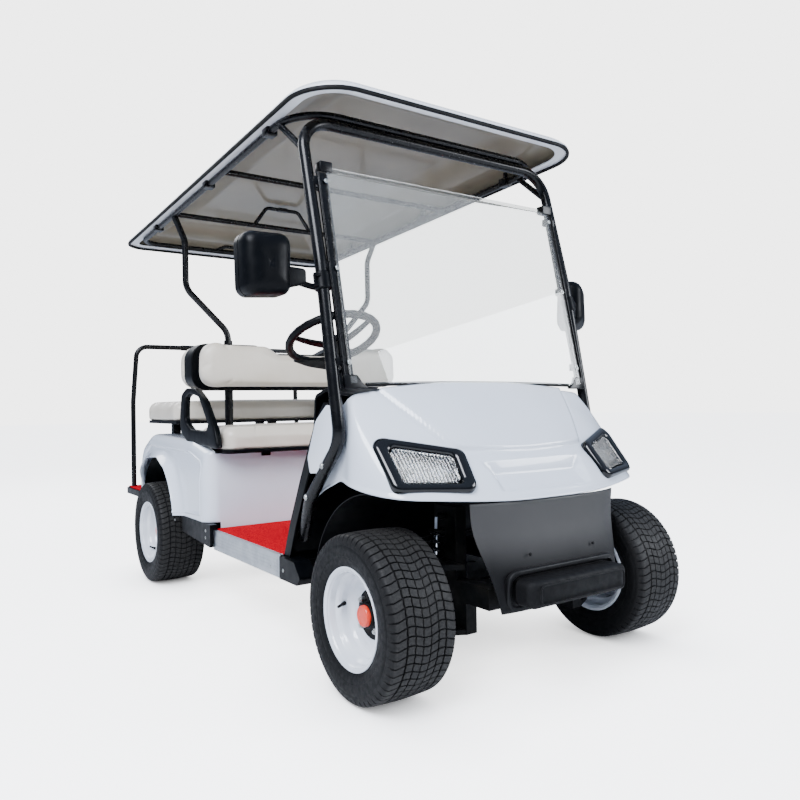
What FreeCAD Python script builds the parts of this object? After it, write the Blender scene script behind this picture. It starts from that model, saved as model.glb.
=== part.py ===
import FreeCAD, Part
import Sketcher
import math
import os

# Four-seat golf cart. Front towards -Y, the driver's side is -X, up is +Z, ground at z = 0.
# The origin lies on the ground in the middle of the overall length. Lengths are in millimetres.
# Every "_at" size is a distance behind the front axle line, every "_past" size a distance behind the
# rear axle line, and every "_height" is above the ground.

SIZES = {
    # running gear
    "wheelbase": 1760, "front_overhang": 320, "rear_overhang": 720,
    "front_track": 957, "rear_track": 1035,
    "tyre_radius": 229.5, "tyre_width": 206, "tread_width": 172, "shoulder_radius": 206,
    "rim_radius": 140, "rim_width": 190, "rim_wall": 4, "flange_width": 5, "bead_radius": 127,
    "well_radius": 108, "well_step": 28, "disc_offset": 12, "disc_wall": 7,
    "hub_radius": 36, "hub_length": 22, "cap_radius": 25, "cap_length": 12, "drum_radius": 78,
    "drum_length": 24, "spindle_radius": 16, "spindle_depth": 20, "running_gap": 0.05,
    "kingpin_half": 352, "kingpin_radius": 13, "steer_arm": 116, "joint_gap": 0.4,
    # chassis
    "rail_half": 220, "rail_width": 40, "rail_depth": 60, "floor_height": 313, "floor_wall": 18,
    "kick_past": -300, "rear_rail_height": 400, "rail_front_at": -190, "rail_rear_past": 300,
    "arm_wall": 16, "arm_spread": 90, "upper_arm_height": 330, "lower_arm_height": 145,
    "tower_height": 505, "damper_radius": 24,
    # floor and sills
    "floor_half": 528, "toe_foot_at": 490, "toe_top_at": 203, "toe_top_height": 815,
    "toe_wall": 8, "edge_wall": 6, "edge_depth": 40, "mat_wall": 7,
    "sill_wall": 16, "sill_height": 70, "sill_front_at": 486, "sill_rear_past": -670,
    "cap_front_at": 340, "rocker_rear_past": -295,
    # front body
    "cowl_wall": 4, "panel_wall": 5, "bumper_half": 199, "bumper_depth": 78, "bumper_height": 330,
    "bumper_reach": 71.8, "bumper_round": 14,
    # rear body
    "body_half": 560, "body_wall": 6, "body_front_past": -635, "body_rear_past": 330,
    "tail_half": 478, "tail_wide": 96, "tail_tall": 72, "tail_low": 394, "tail_depth": 14,
    "body_round": 34, "body_foot_height": 342, "box_top_height": 628, "pocket_height": 618, "pocket_end_past": -298,
    "deck_height": 680, "arch_past": -25, "arch_height": 285, "arch_radius": 305, "flare_width": 34,
    "flare_reach": 40,
    # seats
    "cushion_half": 515, "cushion_wall": 105, "front_cushion_past": -720, "front_cushion_end_past": -375,
    "cushion_gap": 6, "rear_cushion_past": -95, "rear_cushion_end_past": 420, "rear_cushion_height": 742,
    "rear_cushion_wall": 92, "board_wall": 14, "pad_wall": 66, "back_half": 508,
    "back_foot_height": 876, "back_top_height": 1092, "back_dip": 36, "front_pad_past": -444,
    "shell_depth": 196, "soft_gap": 0.4,
    # tubes and canopy
    "pillar_half": 526, "pillar_radius": 18.5, "hoop_height": 1700, "hoop_at": 335, "post_half": 300,
    "post_radius": 19, "post_past": -230, "strut_half": 486, "roof_tube_radius": 12.5, "ring_half": 533,
    "canopy_half": 586, "canopy_front_at": 142, "canopy_rear_past": 484, "canopy_front_height": 1746,
    "canopy_drop": 96, "canopy_crown": 104, "canopy_wall": 6, "canopy_corner": 170,
    "gasket_width": 12, "gasket_height": 15,
    "pane_half": 486, "pane_taper": 8, "channel_width": 32, "pane_wall": 5, "pane_foot_height": 868, "pane_top_height": 1545,
    # driving controls
    "steer_half": 274, "steer_at": 589, "steer_height": 1044, "steer_radius": 175,
    "steer_rim": 15, "steer_angle": 63.2, "column_radius": 21,
    # mirrors
    "mirror_reach": 110, "mirror_wide": 140, "mirror_tall": 188, "mirror_low": 1112, "mirror_at": 168,
    "mirror_depth": 94, "mirror_fold": 35,
    # rear step and grab bar
    "step_front_past": 390, "step_height": 372, "step_wall": 32, "step_half": 530,
    "grab_radius": 13, "grab_half": 500, "grab_height": 1145,
}

doc = FreeCAD.newDocument("golf_cart")
sheet = doc.addObject("Spreadsheet::Sheet", "dims")


class Size:
    """A length that keeps both its number and the sheet formula it comes from."""

    def __init__(self, value, text):
        self.value, self.text = float(value), text

    def join(self, other, sign, swap=False):
        other = other if isinstance(other, Size) else Size(other, repr(float(other)))
        a, b = (other, self) if swap else (self, other)
        value = {"+": lambda: a.value + b.value, "-": lambda: a.value - b.value,
                 "*": lambda: a.value * b.value, "/": lambda: a.value / b.value}[sign]()
        return Size(value, "(%s %s %s)" % (a.text, sign, b.text))

    def __add__(self, other): return self.join(other, "+")
    def __radd__(self, other): return self.join(other, "+", True)
    def __sub__(self, other): return self.join(other, "-")
    def __rsub__(self, other): return self.join(other, "-", True)
    def __mul__(self, other): return self.join(other, "*")
    def __rmul__(self, other): return self.join(other, "*", True)
    def __truediv__(self, other): return self.join(other, "/")
    def __neg__(self): return self.join(-1, "*")
    def __float__(self): return self.value


class Sizes:
    """The sheet's cells, read back by name."""


for row, (name, number) in enumerate(SIZES.items(), start=1):
    cell = "B%d" % row
    sheet.set("A%d" % row, name)
    sheet.set(cell, str(number))
    sheet.setAlias(cell, name)
doc.recompute()
d = Sizes()
for name in SIZES:
    setattr(d, name, Size(sheet.get(name), "dims." + name))
    if name.endswith("_past"):
        setattr(d, name[:-5] + "_at", d.wheelbase + getattr(d, name))

front_axle = (d.front_overhang - d.wheelbase - d.rear_overhang) / 2
front_end = front_axle - d.front_overhang
rear_end = front_axle + d.wheelbase + d.rear_overhang
rear_axle = front_axle + d.wheelbase
NODES = []


def behind(distance):
    """The place along Y of something this far behind the front axle."""
    return front_axle + distance


def aft(distance):
    """How far behind the front axle something lies that is placed from the rear axle."""
    return float(d.wheelbase) + distance


def V(x, y, z):
    return FreeCAD.Vector(float(x), float(y), float(z))


def at(x, y, z):
    """A point from its side distance, its distance behind the front axle and its height."""
    return V(x, float(front_axle) + float(y), z)


def bind(obj, **formulas):
    """Set each property from a Size, as a formula on the sheet."""
    for prop, size in formulas.items():
        size = size if isinstance(size, Size) else Size(size, repr(float(size)))
        obj.setExpression(prop.replace("_", "."), size.text)


def place(obj, x, y, z, axis=None, angle=0):
    """Bind an object's place to the sheet and turn it about an axis."""
    if axis:
        obj.Placement.Rotation = FreeCAD.Rotation(axis, angle)
    bind(obj, Placement_Base_x=x, Placement_Base_y=y, Placement_Base_z=z)


def node(obj, label):
    obj.Label = label
    NODES.append(obj)
    return obj


def solid(shape, label):
    """A sub-part whose shape is worked out below from the sheet."""
    obj = doc.addObject("Part::Feature", label)
    obj.Shape = shape
    return node(obj, label)


def box(name, x0, x1, y0, y1, z0, z1):
    obj = doc.addObject("Part::Box", name)
    bind(obj, Length=x1 - x0, Width=y1 - y0, Height=z1 - z0)
    place(obj, x0, y0, z0)
    return obj


def block(x0, x1, y0, y1, z0, z1):
    """A plain box shape between two corners."""
    low = V(min(float(x0), float(x1)), y0, z0)
    return Part.makeBox(abs(float(x1) - float(x0)), float(y1) - float(y0), float(z1) - float(z0), low)


def rod(start, end, radius):
    return Part.makeCylinder(float(radius), (end - start).Length, start, end - start)


def fused(shapes):
    return shapes[0].multiFuse(shapes[1:]).removeSplitter()


def labelled(label):
    """The shape of a node that is already made."""
    return [obj for obj in NODES if obj.Label == label][0].Shape


def both_sides(shape):
    """The shape with its mirror image across the cart's middle plane."""
    return Part.makeCompound([shape, shape.mirror(V(0, 0, 0), V(1, 0, 0))])


def mirrored(shape):
    return shape.mirror(V(0, 0, 0), V(1, 0, 0))


def bent_path(points, radii):
    """Straight runs joined by tangent arcs, one radius for each inner point."""
    edges, last = [], points[0]
    for i in range(1, len(points) - 1):
        into = (points[i] - points[i - 1]).normalize()
        out = (points[i + 1] - points[i]).normalize()
        half_turn = into.getAngle(out) / 2
        radius = float(radii[i - 1])
        reach = radius * math.tan(half_turn)
        start, end = points[i] - into * reach, points[i] + out * reach
        inward = (out - into).normalize()
        middle = points[i] + inward * (radius / math.cos(half_turn) - radius)
        edges += [Part.LineSegment(last, start).toShape(), Part.Arc(start, middle, end).toShape()]
        last = end
    edges.append(Part.LineSegment(last, points[-1]).toShape())
    return Part.Wire(edges)


def tube(points, radii, radius):
    """A round tube bent along a path."""
    path = bent_path(points, radii)
    ring = Part.Wire(Part.makeCircle(float(radius), points[0], points[1] - points[0]))
    return path.makePipeShell([ring], True, False)


def rounded_wire(corners, radii):
    """A closed flat outline through the corners, each rounded by its own radius."""
    count = len(corners)
    edges, starts, ends = [], [], []
    for i in range(count):
        into = (corners[i] - corners[i - 1]).normalize()
        out = (corners[(i + 1) % count] - corners[i]).normalize()
        half_turn = into.getAngle(out) / 2
        radius = float(radii[i])
        reach = radius * math.tan(half_turn)
        start, end = corners[i] - into * reach, corners[i] + out * reach
        starts.append(start)
        ends.append(end)
        if reach > 0.01:
            inward = (out - into).normalize()
            middle = corners[i] + inward * (radius / math.cos(half_turn) - radius)
            edges.append((i, Part.Arc(start, middle, end).toShape()))
    arcs = dict(edges)
    outline = []
    for i in range(count):
        if i in arcs:
            outline.append(arcs[i])
        outline.append(Part.LineSegment(ends[i], starts[(i + 1) % count]).toShape())
    return Part.Wire(outline)


def prism(corners, radii, along):
    """A flat rounded outline pushed along a vector."""
    return Part.Face(rounded_wire(corners, radii)).extrude(along)


def side_profile(points, radii, x0, x1):
    """A rounded outline drawn on the side view (behind the front axle, height), from x0 to x1."""
    corners = [at(x0, y, z) for y, z in points]
    return prism(corners, radii, V(float(x1) - float(x0), 0, 0))


def surface(rows):
    """A smooth surface through a grid of points."""
    spline = Part.BSplineSurface()
    spline.interpolate(rows)
    return spline


def thick_sheet(rows, wall):
    """A wall of even thickness behind a smooth surface through a grid of points."""
    front = surface(rows)
    inner = []
    for i, row in enumerate(rows):
        line = []
        for j, point in enumerate(row):
            u0, u1, v0, v1 = front.bounds()
            u, v = front.parameter(point)
            line.append(point - front.normal(min(max(u, u0), u1), min(max(v, v0), v1)) * float(wall))
        inner.append(line)
    back = surface(inner)
    outer_face, inner_face = front.toShape(), back.toShape()
    faces = [outer_face, inner_face]
    for a, b in edge_pairs(outer_face, inner_face):
        faces.append(Part.makeRuledSurface(a, b))
    shell = Part.makeShell(faces)
    shell.sewShape()
    shape = Part.makeSolid(shell)
    if shape.Volume < 0:
        shape.reverse()
    return shape


def edge_pairs(outer, inner):
    """The matching edges of two like faces, nearest middle to nearest middle."""
    def middle(edge):
        return edge.valueAt((edge.FirstParameter + edge.LastParameter) / 2)
    pairs = []
    for edge in outer.Edges:
        partner = min(inner.Edges, key=lambda other: (middle(other) - middle(edge)).Length)
        pairs.append((edge, partner))
    return pairs


def new_body(label):
    body = doc.addObject("PartDesign::Body", label)
    return body


def sketch(body, role, corners):
    """A closed outline on one of the body's own planes, each corner held by the sheet's sizes."""
    made = body.newObject("Sketcher::SketchObject", body.Name + "_outline")
    plane = [f for f in body.Origin.OriginFeatures if f.Role == role][0]
    made.AttachmentSupport = [(plane, "")]
    made.MapMode = "FlatFace"
    count = len(corners)
    for i in range(count):
        a, b = corners[i], corners[(i + 1) % count]
        made.addGeometry(Part.LineSegment(V(a[0], a[1], 0), V(b[0], b[1], 0)), False)
    for i in range(count):
        made.addConstraint(Sketcher.Constraint("Coincident", i, 2, (i + 1) % count, 1))
    for i, corner in enumerate(corners):
        for kind, size, axis in (("DistanceX", corner[0], -2), ("DistanceY", corner[1], -1)):
            if abs(float(size)) < 1e-6:
                made.addConstraint(Sketcher.Constraint("PointOnObject", i, 1, axis))
                continue
            index = made.addConstraint(Sketcher.Constraint(kind, -1, 1, i, 1, float(size)))
            if isinstance(size, Size):
                made.setExpression("Constraints[%d]" % index, size.text)
    return made


def revolved(label, corners):
    """A body turned about the X axis from an outline (along the axle, radius)."""
    body = new_body(label)
    outline = sketch(body, "XY_Plane", corners)
    turned = body.newObject("PartDesign::Revolution", label + "_turned")
    turned.Profile = outline
    turned.ReferenceAxis = (outline, ["H_Axis"])
    turned.Angle = 360
    body.Tip = turned
    return body


def padded(label, role, corners, length, symmetric=True):
    """A body pushed out from an outline on one of its planes."""
    body = new_body(label)
    outline = sketch(body, role, corners)
    pad = body.newObject("PartDesign::Pad", label + "_pad")
    pad.Profile = outline
    bind(pad, Length=length)
    pad.Midplane = symmetric
    body.Tip = pad
    return body


def rounded(body, radius, test, suffix="round"):
    """Fillet the edges of the body's last feature that pass the test."""
    doc.recompute()
    base = body.Tip
    names = ["Edge%d" % (i + 1) for i, edge in enumerate(base.Shape.Edges) if test(edge)]
    made = body.newObject("PartDesign::Fillet", body.Name + "_" + suffix)
    made.Base = (base, names)
    bind(made, Radius=radius)
    body.Tip = made
    return body


def make_tyre(label, side, half_track, axle):
    """A low wide tyre: flat tread, round shoulders, bulged walls down to the bead."""
    half = d.tyre_width / 2
    tread = d.tread_width / 2
    bead_half = d.rim_width / 2 - d.flange_width
    bead = d.bead_radius + 0.3
    wall_radius = (d.tyre_radius + d.rim_radius) / 2
    corners = [(-tread, d.tyre_radius), (-tread - 9, d.tyre_radius - 5), (-half + 2, d.shoulder_radius),
               (-half, wall_radius), (-bead_half - 1, d.rim_radius + 2), (-bead_half + 0.3, d.rim_radius),
               (-bead_half + 0.3, bead), (-bead_half + 16, bead), (-half + 14, wall_radius),
               (-tread, d.shoulder_radius + 2), (tread, d.shoulder_radius + 2), (half - 14, wall_radius),
               (bead_half - 16, bead), (bead_half - 0.3, bead), (bead_half - 0.3, d.rim_radius),
               (bead_half + 1, d.rim_radius + 2), (half, wall_radius), (half - 2, d.shoulder_radius),
               (tread + 9, d.tyre_radius - 5), (tread, d.tyre_radius)]
    body = revolved(label, corners)
    place(body, side * half_track, axle, d.tyre_radius)
    return node(body, label)


def make_rim(label, side, half_track, axle):
    """A pressed steel wheel: two flanges, stepped well, disc, hub with its cap, and brake drum."""
    half = d.rim_width / 2
    seat = half - d.flange_width
    wall = d.rim_wall
    inner_bead = d.bead_radius - wall
    inner_well = d.well_radius - wall
    disc_out = d.disc_offset + d.disc_wall
    hub_out = disc_out + d.hub_length
    drum_in = d.disc_offset - d.drum_length
    bore = d.spindle_radius + d.running_gap
    step = d.well_step
    bore_end = d.disc_offset + d.spindle_depth
    outline = [(-half, d.rim_radius), (-seat, d.rim_radius), (-seat, d.bead_radius),
               (-seat + step, d.bead_radius), (-seat + step * 1.4, d.well_radius), (disc_out, d.well_radius),
               (disc_out + step * 0.6, d.bead_radius), (seat, d.bead_radius), (seat, d.rim_radius),
               (half, d.rim_radius), (half, inner_bead), (disc_out + step * 0.6, inner_bead),
               (disc_out + wall, inner_well), (disc_out, inner_well), (disc_out, d.hub_radius),
               (hub_out, d.hub_radius - 3), (hub_out, d.cap_radius), (hub_out + d.cap_length, d.cap_radius - 3),
               (hub_out + d.cap_length, 0), (bore_end, 0), (bore_end, bore), (drum_in, bore),
               (drum_in, d.drum_radius), (d.disc_offset, d.drum_radius), (d.disc_offset, inner_well),
               (-seat + step * 1.4, inner_well), (-seat + step, inner_bead), (-half, inner_bead)]
    if side < 0:
        outline = [(-x, r) for x, r in outline][::-1]
    body = revolved(label, outline)
    place(body, side * half_track, axle, d.tyre_radius)
    return node(body, label)


def make_knuckle(label, side):
    """A steering knuckle: kingpin post, spindle for the wheel and steering arm."""
    low = d.lower_arm_height + d.arm_wall + d.joint_gap
    high = d.upper_arm_height - d.joint_gap
    axle_height = float(d.tyre_radius)
    x = float(d.kingpin_half)
    post = rod(at(x, 0, low), at(x, 0, high), d.kingpin_radius)
    spindle_end = float(d.front_track / 2 + d.disc_offset + d.spindle_depth) - 1
    spindle = rod(at(x, 0, axle_height), at(spindle_end, 0, axle_height), d.spindle_radius)
    arm_height = float(low) + 8
    arm = block(x - 30, x - 6, behind(0), behind(d.steer_arm) + 16, arm_height, arm_height + 12)
    shape = fused([post, spindle, arm])
    return solid(shape if side > 0 else mirrored(shape), label)


def make_tie_rod():
    """The cross rod between the steering arms, with an eye under each arm."""
    low = d.lower_arm_height + d.arm_wall + d.joint_gap
    top = float(low) + 8 - float(d.joint_gap)
    y = float(d.steer_arm)
    x = float(d.kingpin_half) - 20
    bar = rod(at(-x, y, top - 9), at(x, y, top - 9), 8)
    eyes = [rod(at(s * x, y, top - 18), at(s * x, y, top), 14) for s in (-1, 1)]
    return solid(fused([bar] + eyes), "tie_rod")


def make_chassis():
    """A ladder frame with a kick-up over the rear axle, front towers and outriggers."""
    half, width = d.rail_half, d.rail_width
    top = d.floor_height - d.floor_wall
    low = top - d.rail_depth
    inner, outer = half - width / 2, half + width / 2
    rear_top, rear_low = d.rear_rail_height, d.rear_rail_height - d.rail_depth
    kick = behind(d.kick_at)
    shapes = []
    for s in (-1, 1):
        a, b = s * float(inner), s * float(outer)
        shapes += [block(a, b, behind(d.rail_front_at), kick, low, top),
                   block(a, b, kick - 60, kick, low, rear_top),
                   block(a, b, kick - 60, behind(d.rail_rear_at), rear_low, rear_top),
                   block(a, b, behind(-50), behind(50), top, d.tower_height),
                   block(a, b, behind(-d.arm_spread - 2), behind(d.arm_spread + 2), d.lower_arm_height, low)]
        for y in (500, aft(-710)):
            shapes.append(block(b, s * float(d.floor_half), behind(y), behind(y + 40), float(top) - 40, top))
    for y in (-190, 460, aft(-710)):
        shapes.append(block(-float(inner), inner, behind(y), behind(y + 40), low, top))
    for y in (aft(-340), aft(250)):
        shapes.append(block(-float(inner), inner, behind(y), behind(y + 40), rear_low, rear_top))
    bracket = block(-150, 150, behind(-246), behind(-190), float(low) + 5, d.bumper_height)
    frame = fused(shapes + [bracket]).cut(labelled("front_panel"))
    return solid(max(frame.Solids, key=lambda piece: piece.Volume), "chassis_frame")


def make_front_arms():
    """Upper and lower A-arms, each with its middle open round the damper and a round end."""
    root = float(d.rail_half + d.rail_width / 2)
    x = float(d.kingpin_half)
    reach = float(d.arm_spread)
    shapes = []
    for height, window_end in ((d.lower_arm_height, x - 88), (d.upper_arm_height, x - 40)):
        wall = float(d.arm_wall)
        corners = [at(root, -reach, height), at(x - 30, -44, height), at(x, -17, height), at(x, 17, height),
                   at(x - 30, 44, height), at(root, reach, height)]
        plate = prism(corners, [0] * 6, V(0, 0, wall))
        end = rod(at(x, 0, height), at(x, 0, float(height) + wall), 18)
        share = (window_end - root) / (x - 30 - root)
        half_end = reach - 20 - (reach - 20 - 31) * share
        window = prism([at(root + 8, -reach + 22, height), at(window_end, -half_end, height),
                        at(window_end, half_end, height), at(root + 8, reach - 22, height)],
                       [0] * 4, V(0, 0, wall))
        shapes.append(fused([plate, end]).cut(window))
    return solid(both_sides(Part.makeCompound(shapes)), "front_arms")


def make_dampers():
    """Coil-over dampers: body, rod and a coil spring drawn as rings that touch the rod's cover."""
    foot = at(float(d.kingpin_half) - 68, 0, float(d.lower_arm_height + d.arm_wall))
    head = at(float(d.rail_half + d.rail_width / 2) + 30, 0, float(d.tower_height) - 30)
    axis = (head - foot).normalize()
    length = (head - foot).Length
    body = rod(foot, foot + axis * (length * 0.5), 17)
    cover = rod(foot + axis * (length * 0.5), head, 8)
    rings = []
    for i in range(7):
        centre = foot + axis * (length * (0.30 + 0.085 * i))
        rings.append(rod(centre, centre + axis * 9, d.damper_radius))
    pin = rod(head, V(float(d.rail_half + d.rail_width / 2), head.y, head.z), 9)
    spring = rod(foot + axis * (length * 0.28), foot + axis * (length * 0.86), 18)
    shape = fused([body, cover, spring, pin] + rings)
    return solid(both_sides(shape.cut(labelled("front_arms"))), "front_dampers")


def make_rear_axle():
    """A solid rear axle with its gear housing, drive motor and wheel shafts."""
    height = d.tyre_radius
    shaft_end = d.rear_track / 2 + d.disc_offset + d.spindle_depth - 1
    tube_end = d.rear_track / 2 + d.disc_offset - d.drum_length - 8
    y = float(rear_axle)
    z = float(height)
    shaft = rod(V(-shaft_end, y, z), V(shaft_end, y, z), d.spindle_radius)
    casing = rod(V(-tube_end, y, z), V(tube_end, y, z), 30)
    housing = rod(V(-20, y, z), V(90, y, z), 88)
    motor = rod(V(-180, y - 150, z + 10), V(60, y - 150, z + 10), 78)
    neck = block(0, 70, y - 150, y, z - 50, z + 50)
    return solid(fused([shaft, casing, housing, neck, motor]), "rear_axle")


def make_rear_springs():
    """Leaf springs between hangers under the rear rails, with dampers behind the axle."""
    y = float(d.wheelbase)
    seat = float(d.tyre_radius) + 30
    under = float(d.rear_rail_height - d.rail_depth)
    x0, x1 = float(d.rail_half) - 22, float(d.rail_half) + 22
    shapes = []
    for wall, reach in ((8, 270), (8, 190), (8, 120)):
        low = seat + 8 * len(shapes)
        rise = (under - 22 - seat) * (reach / 270.0) ** 2
        arc = Part.Arc(at(x0, y - reach, low + rise), at(x0, y, low), at(x0, y + reach, low + rise)).toShape()
        top = Part.Arc(at(x0, y - reach, low + rise + wall), at(x0, y, low + wall),
                       at(x0, y + reach, low + rise + wall)).toShape()
        shapes.append(Part.makeRuledSurface(arc, top).extrude(V(x1 - x0, 0, 0)))
    for end in (-270, 270):
        shapes.append(block(x0, x1, behind(y + end - 14), behind(y + end + 14), under - 30, under))
    spring = shapes[0].multiFuse(shapes[1:])
    return solid(both_sides(spring), "rear_springs")


def shifted(points, distance):
    """A polyline (behind the axle, height) moved sideways along its own normals."""
    moved = []
    for i, (y, z) in enumerate(points):
        y0, z0 = points[max(i - 1, 0)]
        y1, z1 = points[min(i + 1, len(points) - 1)]
        length = math.hypot(y1 - y0, z1 - z0)
        moved.append((y + (z1 - z0) / length * distance, z - (y1 - y0) / length * distance))
    return moved


def toe_line():
    """The toe board's rear face from the floor up to the dashboard, steeper at its foot."""
    y0, y1 = float(d.toe_foot_at), float(d.toe_top_at)
    z0, z1 = float(d.floor_height), float(d.toe_top_height)
    return [(y0 + (y1 - y0) * across, z0 + (z1 - z0) * up)
            for across, up in ((0, 0), (0.19, 0.25), (0.435, 0.52), (0.79, 0.875), (1, 1))]


def line_wall(points, wall, shift, x0, x1):
    """A wall that follows a polyline, from x0 to x1."""
    front = shifted(points, -shift)
    back = shifted(points, -shift - wall)
    return side_profile(front + back[::-1], [0] * (2 * len(points)), x0, x1)


def make_floor():
    """The floor plate and the sloping toe board with its edge flanges, in one moulded piece."""
    half = float(d.floor_half)
    under, top = d.floor_height - d.floor_wall, d.floor_height
    plate = block(-half, half, behind(d.toe_foot_at) - 20, behind(d.body_front_at) - d.soft_gap, under, top)
    line = toe_line()
    board = line_wall(line, float(d.toe_wall), 0, -half, half)
    edges = [line_wall(line, float(d.edge_depth), 0, s * half, s * (half - float(d.edge_wall))) for s in (-1, 1)]
    below = block(-half - 5, half + 5, behind(300), behind(d.toe_foot_at), under - 100, under)
    return solid(fused([plate, board] + edges).cut(below), "floor_pan")


def make_floor_mat():
    half = d.floor_half - 4
    body = padded("floor_mat", "XY_Plane",
                  [(-half, behind(d.toe_foot_at) + 12), (half, behind(d.toe_foot_at) + 12),
                   (half, behind(d.body_front_at) - 6), (-half, behind(d.body_front_at) - 6)],
                  d.mat_wall, symmetric=False)
    place(body, 0, 0, d.floor_height)
    return node(body, "floor_mat")


def make_sills():
    """Folded aluminium step plates on the outer edge of the floor."""
    plate = box("sill_plate", d.floor_half, d.floor_half + d.sill_wall, behind(d.sill_front_at),
                behind(d.sill_rear_at), d.floor_height - d.sill_height, d.floor_height + d.mat_wall)
    other = box("sill_plate_left", -d.floor_half - d.sill_wall, -d.floor_half, behind(d.sill_front_at),
                behind(d.sill_rear_at), d.floor_height - d.sill_height, d.floor_height + d.mat_wall)
    pair = doc.addObject("Part::Compound", "sill_plates")
    pair.Links = [plate, other]
    return node(pair, "sill_plates")


def make_rockers():
    """Black mouldings in front of and behind the step plates."""
    low, top = float(d.floor_height - d.sill_height), float(d.floor_height)
    x0, x1 = float(d.floor_half), float(d.floor_half + d.sill_wall) + 2
    front = side_profile([(d.sill_front_at - 0.4, low), (d.sill_front_at - 0.4, top + 4), (d.cap_front_at + 40, top),
                          (d.cap_front_at, low + 25), (d.cap_front_at + 20, low)], [2, 6, 10, 8, 8],
                         x0 - 40, x1)
    front = front.cut(labelled("floor_pan")).cut(labelled("chassis_frame"))
    rear = side_profile([(d.sill_rear_at + 0.4, low + 8), (d.sill_rear_at + 0.4, float(d.body_foot_height) - 2),
                         (d.rocker_rear_at, float(d.body_foot_height) - 2), (d.rocker_rear_at - 10, low + 30)],
                        [4, 4, 10, 10], x0, x1 + 12)
    arch = rod(at(x0 - 5, d.arch_at, d.arch_height), at(x1 + 20, d.arch_at, d.arch_height), d.arch_radius)
    rear = rear.cut(arch)
    return solid(both_sides(Part.makeCompound([front, rear])), "rocker_trims")


# Outer surface of the hood and fenders: for each station from the middle to the right-hand side,
# five points (x, behind the front axle, height) from the lower lip up to the windshield edge.
COWL_STATIONS = [
    [(0, -212, 531), (0, -166, 602), (0, -84, 682), (0, 18, 776), (0, 125, 866)],
    [(150, -208, 532), (150, -162, 603), (150, -82, 681), (149, 18, 775), (146, 125, 865)],
    [(288, -182, 538), (282, -142, 605), (272, -74, 676), (268, 20, 768), (262, 124, 857)],
    [(392, -150, 545), (390, -108, 613), (384, -44, 686), (376, 34, 766), (366, 123, 848)],
    [(472, -104, 551), (474, -62, 625), (470, 2, 700), (460, 62, 770), (446, 122, 840)],
    [(514, -22, 562), (513, 2, 632), (507, 38, 702), (496, 78, 768), (477, 124, 832)],
    [(522, 52, 573), (519, 62, 635), (511, 78, 700), (500, 100, 765), (483, 131, 825)],
    [(514, 101, 579), (511, 103, 637), (504, 108, 699), (496, 119, 761), (485, 138, 821)],
    [(504, 150, 582), (501, 143, 638), (496, 138, 698), (491, 138, 757), (485, 146, 816)],
    [(500, 200, 567), (498, 188, 620), (495, 173, 683), (491, 160, 746), (485, 151, 812)],
    [(498, 250, 550), (497, 233, 602), (494, 208, 668), (491, 182, 735), (485, 157, 809)],
    [(497, 301, 525), (496, 273, 590), (494, 237, 662), (491, 200, 734), (485, 162, 806)],
    [(497, 352, 500), (496, 313, 577), (494, 266, 655), (491, 218, 732), (485, 168, 803)],
]


def make_cowl():
    """The hood and front fenders in one smooth moulding, with openings for the two lamps."""
    right = [[at(x, y, z) for x, y, z in station] for station in COWL_STATIONS]
    left = [[at(-x, y, z) for x, y, z in station] for station in COWL_STATIONS[1:]][::-1]
    shell = thick_sheet(left + right, d.cowl_wall)
    for tool in lamp_cutters(-0.4):
        shell = shell.cut(tool)
    return solid(shell, "front_cowl")


# Outer corners of the right-hand lamp bezel: outer top, inner top, inner bottom, outer bottom.
LAMP_CORNERS = [(481, 15, 706), (258, -104, 668), (270, -176, 568), (478, -100, 578)]


def lamp_frame():
    """Centre, normal and corners of the left-hand lamp, seen from the front."""
    corners = [at(x, y, z) for x, y, z in LAMP_CORNERS]
    centre = (corners[0] + corners[1] + corners[2] + corners[3]) * 0.25
    normal = (corners[2] - corners[0]).cross(corners[3] - corners[1]).normalize()
    return centre, normal, corners


def lamp_outline(inset, shift, radius, side=0):
    """The lamp outline drawn in by an inset, and by more at its sides, shifted along its normal."""
    centre, normal, corners = lamp_frame()
    flat = [c - normal * (c - centre).dot(normal) for c in corners]
    drawn = []
    widths = [inset, inset + side] * 2
    for i in range(4):
        before = (flat[i - 1] - flat[i]).normalize()
        after = (flat[(i + 1) % 4] - flat[i]).normalize()
        spread = math.sin(before.getAngle(after))
        inward = before * widths[i] + after * widths[i - 1]
        drawn.append(flat[i] + inward * (1 / spread) + normal * shift)
    return rounded_wire(drawn, [radius] * 4), normal


def lamp_prism(inset, low, high, radius, side=0):
    wire, normal = lamp_outline(inset, low, radius, side)
    return Part.Face(wire).extrude(normal * (high - low))


def lamp_side():
    """The sign that turns the lamp's normal outwards, towards the front of the cart."""
    centre, normal, corners = lamp_frame()
    return 1 if normal.y < 0 else -1


def lamp_cutters(inset):
    tool = lamp_prism(inset, -60, 60, 20)
    return [tool, mirrored(tool)]


def make_lamps():
    """Lamp bezels, clear lenses and reflector bowls behind them."""
    out = lamp_side()
    side = 11
    ring = lamp_prism(0, -30 * out, 12 * out, 20).cut(lamp_prism(19, -40 * out, 20 * out, 10, side))
    solid(both_sides(ring), "lamp_bezels")
    lens = lamp_prism(19.3, 1 * out, 5 * out, 10, side)
    solid(both_sides(lens), "lamp_lenses")
    bowl = lamp_prism(19.3, -60 * out, 0.6 * out, 10, side).cut(lamp_prism(23, -56 * out, 6 * out, 8, side))
    solid(both_sides(bowl), "lamp_bowls")


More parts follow.
